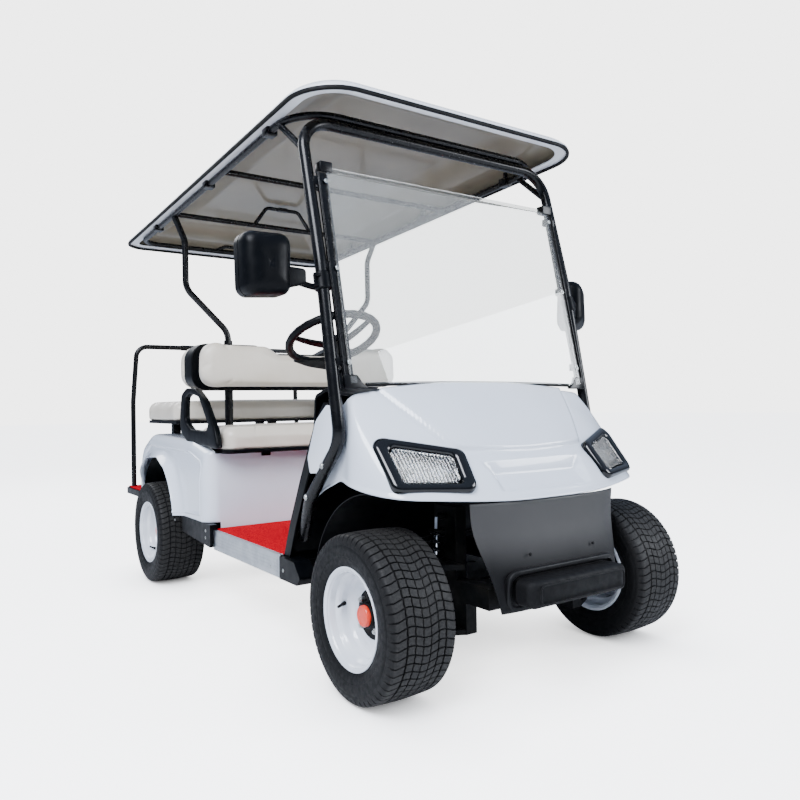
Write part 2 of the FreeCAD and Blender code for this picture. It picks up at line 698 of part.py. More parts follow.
def make_front_panel():
    """The dark panel under the hood, curved in plan, with side returns and two small holes."""
    rows = []
    for z, half, middle, edge in ((530, 292, -209, -178), (450, 284, -219, -180), (370, 264, -236, -204),
                                  (300, 247, -246, -224), (236, 235, -248, -238)):
        row = []
        for share in (-1, -0.75, -0.4, 0, 0.4, 0.75, 1):
            bow = share * share * share * share
            row.append(at(half * share, middle + (edge - middle) * bow, z))
        rows.append(row)
    shell = thick_sheet(rows, d.panel_wall)
    for s in (-1, 1):
        shell = shell.cut(rod(at(s * 129, -300, 385), at(s * 129, -100, 385), 3.5))
    hood = labelled("front_cowl").copy()
    hood.translate(V(0, 0, -0.4))
    shell = shell.cut(hood)
    return solid(max(shell.Solids, key=lambda piece: piece.Volume), "front_panel")


def make_bumper():
    """A rounded rubber block on the lower front panel."""
    low = d.bumper_height - d.bumper_depth
    body = padded("front_bumper", "XY_Plane",
                  [(-d.bumper_half, front_end + 18), (-d.bumper_half + 40, front_end),
                   (d.bumper_half - 40, front_end), (d.bumper_half, front_end + 18),
                   (d.bumper_half, front_end + d.bumper_reach), (-d.bumper_half, front_end + d.bumper_reach)],
                  d.bumper_depth, symmetric=False)
    place(body, 0, 0, low)
    rounded(body, d.bumper_round, lambda edge: edge.BoundBox.YMax < float(front_end) + 17.9
            and edge.BoundBox.ZLength < 1)
    return node(body, "front_bumper")


def make_liners():
    """Black inner fenders: curved sheets round the front wheels and over the rear ones."""
    shapes = []
    centre_height = 240
    rows = []
    for x in (262, 380, 488):
        row = []
        for degrees in (96, 70, 44, 18, -4):
            turn = math.radians(degrees)
            row.append(at(x, 348 * math.cos(turn), centre_height + 318 * math.sin(turn)))
        rows.append(row)
    shapes.append(thick_sheet(rows, 3))
    radius = float(d.arch_radius) - 0.4
    start, end = at(395, d.arch_at, d.arch_height), at(559, d.arch_at, d.arch_height)
    bend = rod(start, end, radius).cut(rod(start, end, radius - 3))
    below = block(390, 565, behind(d.arch_at) - 400, behind(d.arch_at) + 400, -100, d.body_foot_height)
    shapes.append(bend.cut(below))
    return solid(both_sides(Part.makeCompound(shapes)), "fender_liners")


def make_dash():
    """The dashboard: a moulded top with a pocketed face between the pillars."""
    outer = [(140, 838), (300, 858), (372, 838), (388, 700), (330, 650), (300, 652)]
    inner = [(140, 828), (298, 848), (363, 830), (378, 705), (326, 660), (300, 662)]
    points = outer + inner[::-1]
    panel = side_profile(points, [0, 20, 24, 10, 6, 0, 0, 4, 8, 20, 18, 0], -468, 468)
    panel = panel.cut(labelled("floor_pan"))
    for x0, x1 in ((-120, 120), (200, 420)):
        panel = panel.cut(block(x0, x1, behind(330), behind(400), 730, 800))
    return solid(panel, "dash_panel")


def rear_block(inset):
    """The rear body's outer form, drawn in by an inset, with the seat pocket sunk into its top."""
    half = float(d.body_half) - inset
    foot = float(d.body_foot_height) - (40 if inset else 0)
    front, rear = float(d.body_front_at) + inset, float(d.body_rear_at) - inset
    box_top, deck = float(d.box_top_height) - inset, float(d.deck_height) - inset
    points = [(front, foot), (front, box_top), (front + 180, deck - 14), (rear - 200, deck),
              (rear - 60, deck - 60), (rear, deck - 170), (rear, foot)]
    shape = side_profile(points, [0, 12, 200, 120, 90, 120, 0], -half, half)
    front_edges = [e for e in shape.Edges if e.BoundBox.ZLength > 100 and e.BoundBox.YLength < 1
                   and e.BoundBox.XLength < 1 and abs(e.BoundBox.YMin - float(behind(front))) < 1]
    side_edges = [e for e in shape.Edges if e.BoundBox.XLength < 0.5 and e.BoundBox.YLength > 2
                  and e.BoundBox.ZMin > deck - 200]
    shape = shape.makeFillet(float(d.body_round) - inset, front_edges + side_edges)
    pocket_half = float(d.cushion_half) + float(d.cushion_gap) + 4 + inset
    pocket = block(-pocket_half, pocket_half, behind(d.body_front_at) - 50, behind(d.pocket_end_at) + inset,
                   float(d.pocket_height) - inset, 800)
    return shape.cut(pocket)


def make_rear_body():
    """The white rear tub: seat box and fenders, hollow and open below, with flared wheel arches."""
    shell = rear_block(0).cut(rear_block(float(d.body_wall)))
    centre = (float(d.arch_at), float(d.arch_height))
    outer = float(d.arch_radius + d.flare_width)
    for s in (-1, 1):
        a, b = s * (float(d.body_half) - 5), s * (float(d.body_half) + float(d.flare_reach))
        cone = Part.makeCone(outer + 18, outer - 14, abs(b - a), at(a, *centre), V(s, 0, 0))
        above = block(a, b, behind(centre[0] - 400), behind(d.body_rear_at) - 20, d.body_foot_height, 700)
        shell = shell.fuse(cone.common(above))
    for s in (-1, 1):
        a, b = s * (float(d.body_half) - 200), s * (float(d.body_half) + 80)
        shell = shell.cut(rod(at(a, *centre), at(b, *centre), d.arch_radius))
    hatch = block(-430, 430, behind(aft(-585)), behind(aft(-385)), 560, 760)
    skirt = block(-500, 500, behind(d.body_front_at), behind(d.body_front_at + d.body_wall),
                  d.floor_height - d.floor_wall, 400)
    shell = shell.cut(hatch).fuse(skirt).removeSplitter()
    for s in (-1, 1):
        shell = shell.cut(rod(at(s * float(d.post_half), d.post_at, 600), at(s * float(d.post_half), d.post_at, 760),
                              float(d.post_radius) + 0.5))
    return solid(shell, "rear_body")


def make_tail_lamps():
    """Red lamps with rounded faces on the tub's rear wall."""
    x0, x1 = float(d.tail_half - d.tail_wide / 2), float(d.tail_half + d.tail_wide / 2)
    y, low, top = float(d.body_rear_at), float(d.tail_low), float(d.tail_low + d.tail_tall)
    lamp = prism([at(x0, y, low), at(x1, y, low), at(x1, y, top), at(x0, y, top)], [18] * 4,
                 V(0, d.tail_depth, 0))
    rims = [e for e in lamp.Edges if abs(e.BoundBox.YMin - float(behind(y + float(d.tail_depth)))) < 0.1]
    return solid(both_sides(lamp.makeFillet(float(d.tail_depth) * 0.45, rims)), "tail_lamps")


def cushion_block(x_half, y0, y1, z0, z1, corner, edge):
    shape = prism([V(-x_half, y0, z0), V(x_half, y0, z0), V(x_half, y1, z0), V(-x_half, y1, z0)],
                  [corner] * 4, V(0, 0, z1 - z0))
    rims = [e for e in shape.Edges if abs(e.BoundBox.ZMin - z1) < 0.1]
    return shape.makeFillet(edge, rims)


def make_cushions():
    half = float(d.cushion_half)
    gap = float(d.soft_gap)
    z0 = front_lid_height() + float(d.board_wall) + gap
    shape = cushion_block(half, float(behind(d.front_cushion_at)), float(behind(d.front_cushion_end_at)),
                          z0, z0 + float(d.cushion_wall) - float(d.board_wall), 50, 30)
    solid(shape, "front_cushion")
    z0 = float(d.rear_cushion_height) + gap
    shape = cushion_block(half, float(behind(d.rear_cushion_at)), float(behind(d.rear_cushion_end_at)),
                          z0, z0 + float(d.rear_cushion_wall), 70, 34)
    solid(shape, "rear_cushion")


def front_lid_height():
    """Underside of the front cushion's board, just over the floor of the seat pocket."""
    return float(d.pocket_height) + float(d.soft_gap)


def hinge_barrel(half, y, z0):
    """The round hinge along a board's edge, as thick as the board."""
    radius = float(d.board_wall) / 2
    return rod(at(-half + 40, y, z0 + radius), at(half - 40, y, z0 + radius), radius)


def make_boards():
    """Black boards that carry the two seat cushions."""
    half = float(d.cushion_half) - 14
    z0 = front_lid_height()
    board = prism([V(-half, behind(d.front_cushion_at + 12), z0), V(half, behind(d.front_cushion_at + 12), z0),
                   V(half, behind(d.front_cushion_end_at), z0), V(-half, behind(d.front_cushion_end_at), z0)],
                  [40, 40, 12, 12], V(0, 0, d.board_wall))
    hinge = hinge_barrel(half, d.front_cushion_end_at, z0)
    solid(fused([board, hinge]), "front_board")
    z0 = float(d.rear_cushion_height - d.board_wall)
    board = prism([V(-half, behind(d.rear_cushion_at), z0), V(half, behind(d.rear_cushion_at), z0),
                   V(half, behind(d.rear_cushion_end_at - 14), z0), V(-half, behind(d.rear_cushion_end_at - 14), z0)],
                  [12, 12, 60, 60], V(0, 0, d.board_wall))
    hinge = hinge_barrel(half, d.rear_cushion_at, z0)
    solid(fused([board, hinge]), "rear_board")


def back_wire(y, inset, drop):
    """The backrest outline: raised shoulders, a dip in the middle, round lower corners."""
    half = float(d.back_half) - inset
    foot, top = float(d.back_foot_height) + inset + drop, float(d.back_top_height) - inset
    dip = top - float(d.back_dip)
    points = [(-half, foot), (half, foot), (half, top), (196, top), (132, dip), (-132, dip), (-196, top),
              (-half, top)]
    return rounded_wire([at(x, y, z) for x, z in points], [66, 66, 72, 60, 60, 60, 60, 72])


def back_slab(y0, y1, inset, drop=0):
    face = Part.Face(back_wire(y0, inset, drop))
    return face.extrude(V(0, y1 - y0, 0))


def make_backrests():
    """Two back pads, back to back on one moulded black shell that the posts pass through."""
    gap = float(d.soft_gap)
    front = float(d.front_pad_at)
    pad = float(d.pad_wall)
    shell_front = front + pad + gap
    shell_rear = shell_front + float(d.shell_depth)
    slab = back_slab(front, front + pad, 0)
    rims = [e for e in slab.Edges if abs(e.BoundBox.YMin - float(behind(front))) < 0.1
            and e.BoundBox.YLength < 0.1]
    solid(slab.makeFillet(26, rims), "front_back_pad")
    slab = back_slab(shell_rear + gap, shell_rear + gap + pad, 4)
    rims = [e for e in slab.Edges if abs(e.BoundBox.YMax - float(behind(shell_rear + gap + pad))) < 0.1
            and e.BoundBox.YLength < 0.1]
    solid(slab.makeFillet(26, rims), "rear_back_pad")
    shell = back_slab(shell_front, shell_rear, 3)
    for s in (-1, 1):
        x = s * float(d.post_half)
        shell = shell.cut(rod(at(x, d.post_at, 800), at(x, d.post_at, 1150), float(d.post_radius) + 0.3))
    solid(shell, "backrest_shell")


def make_hip_restraints():
    """Moulded loops beside the seat: a sloping front arm, an upright and a foot."""
    x0 = float(d.cushion_half) + float(d.cushion_gap) + 1
    x1 = x0 + 30
    outer = [(-738, 622), (-700, 612), (-365, 640), (-282, 700), (-268, 762), (-298, 893), (-498, 893)]
    shape = side_profile([(aft(y), z) for y, z in outer], [10, 6, 20, 30, 50, 34, 40], x0, x1)
    inner = [(-610, 704), (-420, 712), (-348, 745), (-358, 852), (-508, 853)]
    hole = side_profile([(aft(y), z) for y, z in inner], [10, 14, 40, 20, 24], x0 - 5, x1 + 5)
    shape = shape.cut(hole)
    cut_body = rear_block(0)
    shape = shape.cut(cut_body)
    return solid(both_sides(shape), "hip_restraints")


def make_front_hoop():
    """One bent tube: both windshield pillars and the cross bar under the canopy's front."""
    x = float(d.pillar_half)
    half = [(x - 40, 428, 380), (x, 300, 520), (x, 113, 702), (x, 215, 1238),
            (x, float(d.hoop_at), float(d.hoop_height))]
    radii = [120, 90, 900, 105]
    points = [at(*p) for p in half] + [at(-px, py, pz) for px, py, pz in half[::-1]]
    lugs = [rod(at(s * x, 197, 620), at(s * (x - 31), 197, 620), 8) for s in (-1, 1)]
    hoop = fused([tube(points, radii + radii[::-1], d.pillar_radius)] + lugs)
    hoop = hoop.cut(labelled("floor_pan")).cut(labelled("front_cowl"))
    return solid(max(hoop.Solids, key=lambda piece: piece.Volume), "front_hoop")


def roof_plane(y):
    """Height of the canopy's edge line at a distance behind the front axle."""
    share = (y - float(d.canopy_front_at)) / float(d.canopy_rear_at - d.canopy_front_at)
    return float(d.canopy_front_height) - float(d.canopy_drop) * share


def make_rear_struts():
    """Posts up through the backrest shell that jog outwards and carry the roof."""
    foot = float(d.deck_height) + 0.4
    points = [at(d.post_half, d.post_at, foot - 50), at(d.post_half, d.post_at, 1150),
              at(d.strut_half, aft(-202), 1345), at(d.strut_half, aft(-200), 1560),
              at(d.ring_half, aft(-198), ring_height(aft(-198)) - 7)]
    strut = tube(points, [90, 90, 120], 14)
    post = rod(at(d.post_half, d.post_at, foot - 50), at(d.post_half, d.post_at, 1120), d.post_radius)
    plate = block(float(d.post_half) - 36, float(d.post_half) + 36, behind(float(d.post_at) - 30),
                  behind(float(d.post_at) + 30), foot, foot + 8)
    shape = fused([strut, post, plate]).cut(labelled("roof_frame"))
    return solid(both_sides(max(shape.Solids, key=lambda piece: piece.Volume)), "rear_struts")


def ring_height(y):
    """Centre of the roof ring, resting on the front hoop's cross bar and sloping with the canopy."""
    seat = float(d.hoop_height) + float(d.pillar_radius) + float(d.roof_tube_radius)
    return seat + roof_plane(y) - roof_plane(float(d.hoop_at))


def make_roof_frame():
    """The tube ring under the canopy with cross bars, raised middle hoops, clips and front braces."""
    x = float(d.ring_half)
    front, rear = float(d.hoop_at), aft(340)
    r = float(d.roof_tube_radius)

    def level(px, py, up=0):
        return at(px, py, ring_height(py) + up)

    ring = tube([level(0, front), level(x, front), level(x, rear), level(0, rear)], [150, 90], r)
    parts = [ring, mirrored(ring)]
    for y in (aft(-800), aft(-200)):
        parts.append(rod(level(-x, y), level(x, y), r - 0.8))
    for y in (aft(-200), rear):
        hoop = [level(-150, y), level(-84, y, 92), level(84, y, 92), level(150, y)]
        parts.append(tube(hoop, [34, 34], 9))
    for s in (-1, 1):
        parts.append(rod(at(s * float(d.pillar_half), 318, 1602), level(s * x, 470), 11))
        for y in (front + 205, aft(-640), aft(40)):
            parts.append(rod(level(s * x, y), level(s * x, y, 60), 9))
    frame = fused(parts).cut(labelled("canopy")).cut(labelled("front_hoop"))
    return solid(max(frame.Solids, key=lambda piece: piece.Volume), "roof_frame")


def canopy_outline(grow, z):
    half = float(d.canopy_half) + grow
    y0, y1 = float(d.canopy_front_at) - grow, float(d.canopy_rear_at) + grow
    r = float(d.canopy_corner) + grow
    return rounded_wire([at(-half, y0, z), at(half, y0, z), at(half, y1, z), at(-half, y1, z)],
                        [r, r, r * 0.6, r * 0.6])


def edge_distance(x, y):
    """How far a point lies inside the canopy's rounded outline."""
    half = float(d.canopy_half)
    middle = float(d.canopy_front_at + d.canopy_rear_at) / 2
    reach = float(d.canopy_rear_at - d.canopy_front_at) / 2
    r = float(d.canopy_corner)
    over_x, over_y = abs(x) - (half - r), abs(y - middle) - (reach - r)
    if over_x > 0 and over_y > 0:
        return r - math.hypot(over_x, over_y)
    return -max(over_x, over_y) + r


def canopy_height(x, y):
    """Rounded shoulder inside the edge, then a second soft step up to the raised middle."""
    inside = edge_distance(x, y)
    shoulder = 1 - math.exp(-inside / 70.0)
    step = min(max((inside - 110) / 150.0, 0), 1)
    step = step * step * (3 - 2 * step)
    return roof_plane(y) + float(d.canopy_crown) * (0.48 * shoulder + 0.52 * step)


def make_canopy():
    """The roof moulding: a crowned sheet trimmed to its rounded outline."""
    half = float(d.canopy_half) + 4
    y0, y1 = float(d.canopy_front_at) - 4, float(d.canopy_rear_at) + 4
    ins = [0, 40, 90, 150, 210, 270, 400]
    xs = [-half + t for t in ins] + [0] + [half - t for t in ins[::-1]]
    ins = ins + [620]
    ys = [y0 + t for t in ins] + [(y0 + y1) / 2] + [y1 - t for t in ins[::-1]]
    rows = [[at(x, y, canopy_height(x, y) + float(d.canopy_wall)) for y in ys] for x in xs]
    sheet_shape = thick_sheet(rows, d.canopy_wall)
    trim = Part.Face(canopy_outline(-float(d.gasket_width) * 0.5, 1400)).extrude(V(0, 0, 600))
    solid(sheet_shape.common(trim), "canopy")


def make_gasket():
    """The black edge seal round the canopy."""
    outer = Part.Face(canopy_outline(0, 1400)).extrude(V(0, 0, 600))
    inner = Part.Face(canopy_outline(0.3 - float(d.gasket_width) * 0.5, 1400)).extrude(V(0, 0, 600))
    ring = outer.cut(inner)
    y0, y1 = float(d.canopy_front_at) - 50, float(d.canopy_rear_at) + 50
    low, high = -float(d.gasket_height) * 0.5, float(d.gasket_height) * 0.5
    band = side_profile([(y0, roof_plane(y0) + low), (y1, roof_plane(y1) + low), (y1, roof_plane(y1) + high),
                         (y0, roof_plane(y0) + high)], [0] * 4, -700, 700)
    return solid(ring.common(band), "canopy_gasket")


def pane_at(height):
    """Where the windshield stands, in front of the pillars, at a height."""
    share = (height - 702.0) / (float(d.hoop_height) - 702)
    return 113 + (335 - 113) * share - float(d.pillar_radius) - 14


def make_windshield():
    """A clear pane in front of the pillars, its top edge rolled back."""
    low, top = float(d.pane_foot_height), float(d.pane_top_height)
    wall, bend = float(d.pane_wall), top - 26
    wide, narrow = float(d.pane_half), float(d.pane_half - d.pane_taper)
    side = [(pane_at(low), low), (pane_at(bend), bend), (pane_at(bend) + 26, top - wall),
            (pane_at(bend) + 24, top), (pane_at(bend) - wall, bend + 3), (pane_at(low) - wall, low)]
    sheet_shape = side_profile(side, [0, 12, 0, 0, 12 + wall, 0], -wide - 10, wide + 10)
    front = pane_at(low) - 50
    outline = prism([at(-wide, front, low), at(wide, front, low), at(narrow, front, top),
                     at(-narrow, front, top)], [20, 20, 30, 30], V(0, 400, 0))
    return solid(sheet_shape.common(outline), "windshield")


def make_pane_clamps():
    """Channels between the pane and the pillars, with a lug to each pillar."""
    shapes = []
    low, top = 900, 1500
    x0 = float(d.pillar_half - d.pillar_radius - d.channel_width) - 2
    strip = [(pane_at(low) + 0.4, low), (pane_at(low) + 12, low), (pane_at(top) + 12, top),
             (pane_at(top) + 0.4, top)]
    channel = side_profile(strip, [0] * 4, x0, x0 + float(d.channel_width))
    lugs = []
    for z in (960, 1215, 1470):
        y = pane_at(z)
        lugs.append(block(x0, float(d.pillar_half) - 5, behind(y + 3), behind(y + 30), z - 12, z + 12))
    hoop = labelled("front_hoop")
    shape = fused([channel] + lugs).cut(hoop)
    return solid(both_sides(shape), "pane_clamps")


def mirror_outline(inset, y, radii):
    """The mirror's outline drawn in by an inset, at a distance behind the front axle."""
    x0 = float(d.pillar_half + d.mirror_reach) + inset
    x1 = float(d.pillar_half + d.mirror_reach + d.mirror_wide) - inset
    low, top = float(d.mirror_low) + inset, float(d.mirror_low + d.mirror_tall) - inset
    return [at(x0, y, low + 10), at(x1, y, low), at(x1 + 4, y, top - 4), at(x0 - 6, y, top)], radii


def make_mirrors():
    """Mirrors on arms from the pillars, their glass set in. The far one is folded towards the driver."""
    y0 = float(d.mirror_at)
    depth = float(d.mirror_depth)
    y1 = y0 + depth
    housing = prism(*mirror_outline(0, y0, [26, 30, 34, 34]), V(0, depth, 0))
    rims = [e for e in housing.Edges if abs(e.BoundBox.YMin - float(behind(y0))) < 0.1
            and e.BoundBox.YLength < 0.1]
    housing = housing.makeFillet(22, rims)
    housing = housing.cut(prism(*mirror_outline(10, y1 - 8, [20, 24, 28, 28]), V(0, 20, 0)))
    x = float(d.pillar_half)
    inner = x + float(d.mirror_reach)
    low = float(d.mirror_low)
    arm = tube([at(x, y0 + 40, low + 56), at(inner - 46, y0 + 46, low + 60), at(inner + 14, y0 + 52, low + 78)],
               [30], 10)
    clamp = rod(at(x, y0 + 28, low + 28), at(x, y0 + 42, low + 84), 26)
    hoop = labelled("front_hoop")
    inside = block(x - 60, x - 8, behind(y0 - 68), behind(y0 + 132), low - 12, low + 118)
    bracket = fused([housing, arm, clamp])
    glass = prism(*mirror_outline(11, y1 - 7.6, [19, 23, 27, 27]), V(0, 4, 0))
    near, near_glass = mirrored(bracket.cut(hoop).cut(inside)), mirrored(glass)
    for shape in (bracket, glass):
        shape.rotate(at(x, 113, 702), V(0, 102, 536), float(d.mirror_fold))
    far = bracket.cut(hoop).cut(inside)
    solid(Part.makeCompound([near, max(far.Solids, key=lambda piece: piece.Volume)]), "mirrors")
    solid(Part.makeCompound([near_glass, glass]), "mirror_glass")


def steering_axis():
    """The wheel's centre and the direction of the column, up towards the driver."""
    lean = math.radians(float(d.steer_angle))
    return at(-float(d.steer_half), d.steer_at, d.steer_height), V(0, math.cos(lean), math.sin(lean))


def make_steering():
    """The steering wheel with three spokes, and the fixed column under it."""
    centre, axis = steering_axis()
    rim = Part.makeTorus(float(d.steer_radius) - float(d.steer_rim), float(d.steer_rim), centre, axis)
    hub = rod(centre - axis * 34, centre - axis * 4, 46)
    across = axis.cross(V(1, 0, 0)).normalize()
    spokes = []
    for degrees, wide in ((180, 22), (300, 22), (60, 40)):
        turn = math.radians(degrees)
        way = V(1, 0, 0) * math.cos(turn) + across * math.sin(turn)
        side = axis.cross(way).normalize()
        start = centre - axis * 26 + way * 30
        end = centre - axis * 4 + way * (float(d.steer_radius) - float(d.steer_rim))
        corners = [start - side * wide, start + side * wide, end + side * (wide - 9), end - side * (wide - 9)]
        spokes.append(Part.Face(Part.makePolygon(corners + corners[:1])).extrude(axis * 9))
    solid(fused([rim, hub] + spokes), "steering_wheel")
    top = centre - axis * 34.4
    low = centre - axis * 565
    column = rod(low, top, d.column_radius)
    shroud = Part.makeCone(34, 44, 110, top - axis * 110, axis)
    root = centre - axis * 107 - V(0, 5, 0)
    lever = [(0, -20), (-46, -20), (-126, -10), (-198, 12), (-126, 12), (-46, 10), (0, 8)]
    stalk = prism([root + V(x, 0, z) for x, z in lever], [0, 60, 90, 3, 60, 40, 0], V(0, 10, 0))
    shape = fused([column, shroud, stalk])
    floor = labelled("floor_pan")
    return solid(shape.cut(floor), "steering_column")


def make_pedals():
    """Brake and accelerator pads on their arms, hung in front of the toe board's foot."""
    shapes = []
    lean = math.atan2(float(d.toe_top_height - d.floor_height), float(d.toe_foot_at - d.toe_top_at))
    away = V(0, math.sin(lean), math.cos(lean))
    along = V(0, -math.cos(lean), math.sin(lean))
    for x0, x1, up, tall in ((-330, -225, 120, 70), (-190, -130, 60, 150)):
        foot = at(x0, d.toe_foot_at, d.floor_height) + along * up
        corners = [foot, foot + V(x1 - x0, 0, 0), foot + V(x1 - x0, 0, 0) + along * tall, foot + along * tall]
        pad = Part.Face(Part.makePolygon(corners + corners[:1])).extrude(away * 12)
        pad.translate(away * 40)
        stem_foot = foot + V((x1 - x0) / 2, 0, 0) + along * (tall / 2)
        stem = rod(stem_foot + away * 0.2, stem_foot + away * 42, 8)
        shapes.append(fused([pad, stem]).cut(labelled("floor_pan")))
    return solid(Part.makeCompound(shapes), "pedals")


def make_rear_step():
    """The rear foot platform on two arms under the rear rails."""
    under = float(d.rear_rail_height - d.rail_depth)
    half = float(d.step_half)
    top = float(d.step_height)
    y0, y1 = float(d.step_front_at), aft(float(d.rear_overhang))
    low = top - float(d.step_wall)
    deck = prism([at(-half, y0, low), at(half, y0, low), at(half, y1, low), at(-half, y1, low)],
                 [12, 12, 30, 30], V(0, 0, top - low))
    arms = []
    for s in (-1, 1):
        arms.append(block(s * 200, s * 240, behind(d.rail_rear_at - 14), behind(y0 + 60), under - 30, under))
        arms.append(block(s * 200, s * 240, behind(y0 + 20), behind(y1 - 20), min(under, low) - 30, low))
    solid(fused([deck] + arms), "rear_step")
    mat = prism([at(-half + 8, y0 + 8, top), at(half - 8, y0 + 8, top), at(half - 8, y1 - 6, top),
                 at(-half + 8, y1 - 6, top)], [10, 10, 26, 26], V(0, 0, float(d.mat_wall)))
    for s in (-1, 1):
        foot = at(s * float(d.grab_half), aft(665), top - 1)
        mat = mat.cut(rod(foot, foot + V(0, 0, 20), 30))
    solid(mat, "step_mat")


def make_grab_bar():
    x = float(d.grab_half)
    top = float(d.step_height)
    half = [(x, aft(665), top), (x, aft(665), 470), (x - 5, aft(682), 840), (x - 22, aft(658), float(d.grab_height))]
    points = [at(*p) for p in half] + [at(-px, py, pz) for px, py, pz in half[::-1]]
    bar = tube(points, [200, 160, 60, 60, 160, 200], d.grab_radius)
    feet = [rod(at(s * x, aft(665), top), at(s * x, aft(665), top + 6), 28) for s in (-1, 1)]
    return solid(fused([bar] + feet), "grab_bar")


def make_battery():
    pack = box("battery_pack", -Size(390, "390"), Size(390, "390"), behind(d.body_front_at + 40),
               behind(d.body_front_at + 270), d.floor_height - d.floor_wall, d.floor_height - d.floor_wall + 265)
    return node(pack, "battery_pack")


def make_supports():
    """Short posts on the rear deck that carry the rear seat board."""
    z0, z1 = float(d.deck_height), float(d.rear_cushion_height - d.board_wall)
    posts = []
    for x in (-440, 0, 440):
        for y in (aft(-60), aft(90)):
            posts.append(block(x - 18, x + 18, behind(y), behind(y + 36), z0 - 2, z1 - 0.3))
    deck = rear_block(0)
    return solid(Part.makeCompound([p.cut(deck) for p in posts]), "seat_supports")


for corner, side, half_track, axle in (("front_right", -1, d.front_track / 2, front_axle),
                                       ("front_left", 1, d.front_track / 2, front_axle),
                                       ("rear_right", -1, d.rear_track / 2, rear_axle),
                                       ("rear_left", 1, d.rear_track / 2, rear_axle)):
    make_tyre("tyre_" + corner, side, half_track, axle)
    make_rim("rim_" + corner, side, half_track, axle)
make_knuckle("knuckle_right", -1)
make_knuckle("knuckle_left", 1)
make_tie_rod()
make_cowl()
make_front_panel()
make_chassis()
make_front_arms()
make_dampers()
make_rear_axle()
make_rear_springs()
make_floor()
make_floor_mat()
make_sills()
make_rockers()
make_lamps()
make_bumper()
make_liners()
make_dash()
make_rear_body()
make_tail_lamps()
make_cushions()
make_boards()
make_supports()
make_backrests()
make_hip_restraints()
make_front_hoop()
make_canopy()
make_gasket()
make_roof_frame()
make_rear_struts()
make_windshield()
make_pane_clamps()
make_mirrors()
make_steering()
make_pedals()
make_rear_step()
make_grab_bar()
make_battery()

doc.recompute()
for obj in doc.Objects:
    if "Invalid" in obj.State or "Error" in obj.State:
        raise RuntimeError("%s did not build: %s" % (obj.Label, obj.State))
for obj in NODES:
    if obj.Shape.isNull() or not obj.Shape.isValid() or not obj.Shape.Solids:
        raise RuntimeError("%s has no valid solid" % obj.Label)
os.makedirs("parts", exist_ok=True)
for obj in NODES:
    obj.Shape.exportStep("parts/%s.step" % obj.Label)
    print(obj.Label, len(obj.Shape.Solids), round(obj.Shape.Volume / 1e6, 3))
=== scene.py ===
"""Four-seat golf cart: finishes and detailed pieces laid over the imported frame.

Lengths inside the shape functions are millimetres: side distance, distance behind the front axle and
height above the ground. metres() moves such points into the frame.
"""
from math import acos, asin, cos, pi, radians, sin, tan

import bmesh
import bpy
import numpy as np
from mathutils import Matrix


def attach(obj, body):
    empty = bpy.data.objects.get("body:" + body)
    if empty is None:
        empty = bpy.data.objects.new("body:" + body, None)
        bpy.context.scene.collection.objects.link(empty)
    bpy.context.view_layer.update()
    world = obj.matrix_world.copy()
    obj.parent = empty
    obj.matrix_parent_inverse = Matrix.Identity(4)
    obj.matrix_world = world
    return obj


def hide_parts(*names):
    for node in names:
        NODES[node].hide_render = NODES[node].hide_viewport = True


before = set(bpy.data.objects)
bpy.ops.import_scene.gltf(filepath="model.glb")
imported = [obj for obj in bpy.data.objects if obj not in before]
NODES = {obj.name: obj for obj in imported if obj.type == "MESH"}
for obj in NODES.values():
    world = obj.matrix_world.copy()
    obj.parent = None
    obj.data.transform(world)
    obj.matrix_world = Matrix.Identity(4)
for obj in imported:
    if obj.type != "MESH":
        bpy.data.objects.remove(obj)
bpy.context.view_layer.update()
# The frame's middle lies this far behind the front axle, and moulded shells are this thick, in mm.
MIDDLE, SHELL = 1080.0, 5
# Height of the wheels' centres, then each wheel's corner, side, distance behind and valve angle in degrees.
HUB_HEIGHT = 229.5
WHEELS = (("front_right", -478.5, 0, 6), ("front_left", 478.5, 0, 140), ("rear_right", -517.5, 1760, -58),
          ("rear_left", 517.5, 1760, 215))


# Finishes

def linear(code):
    """An sRGB hex colour as the linear numbers a shader takes."""
    parts = np.array([int(code[i:i + 2], 16) for i in (1, 3, 5)]) / 255.0
    parts = np.where(parts <= 0.04045, parts / 12.92, ((parts + 0.055) / 1.055) ** 2.4)
    return (float(parts[0]), float(parts[1]), float(parts[2]), 1.0)


def add(tree, kind, sockets={}, fields={}):
    """Adds a shader node: sockets are its inputs, as values or other nodes' outputs, fields its settings."""
    made = tree.nodes.new("ShaderNode" + kind)
    for field, value in fields.items():
        setattr(made, field, value)
    for socket, value in sockets.items():
        if isinstance(value, bpy.types.NodeSocket):
            tree.links.new(value, made.inputs[socket])
        else:
            made.inputs[socket].default_value = value
    return made


def reckoned(tree, operation, first, second):
    """The output of a shader node that reckons with two numbers."""
    return add(tree, "Math", {0: first, 1: second}, {"operation": operation}).outputs[0]


def shader_of(material):
    """The material's own surface shader."""
    return [node for node in material.node_tree.nodes if node.type == "BSDF_PRINCIPLED"][0]


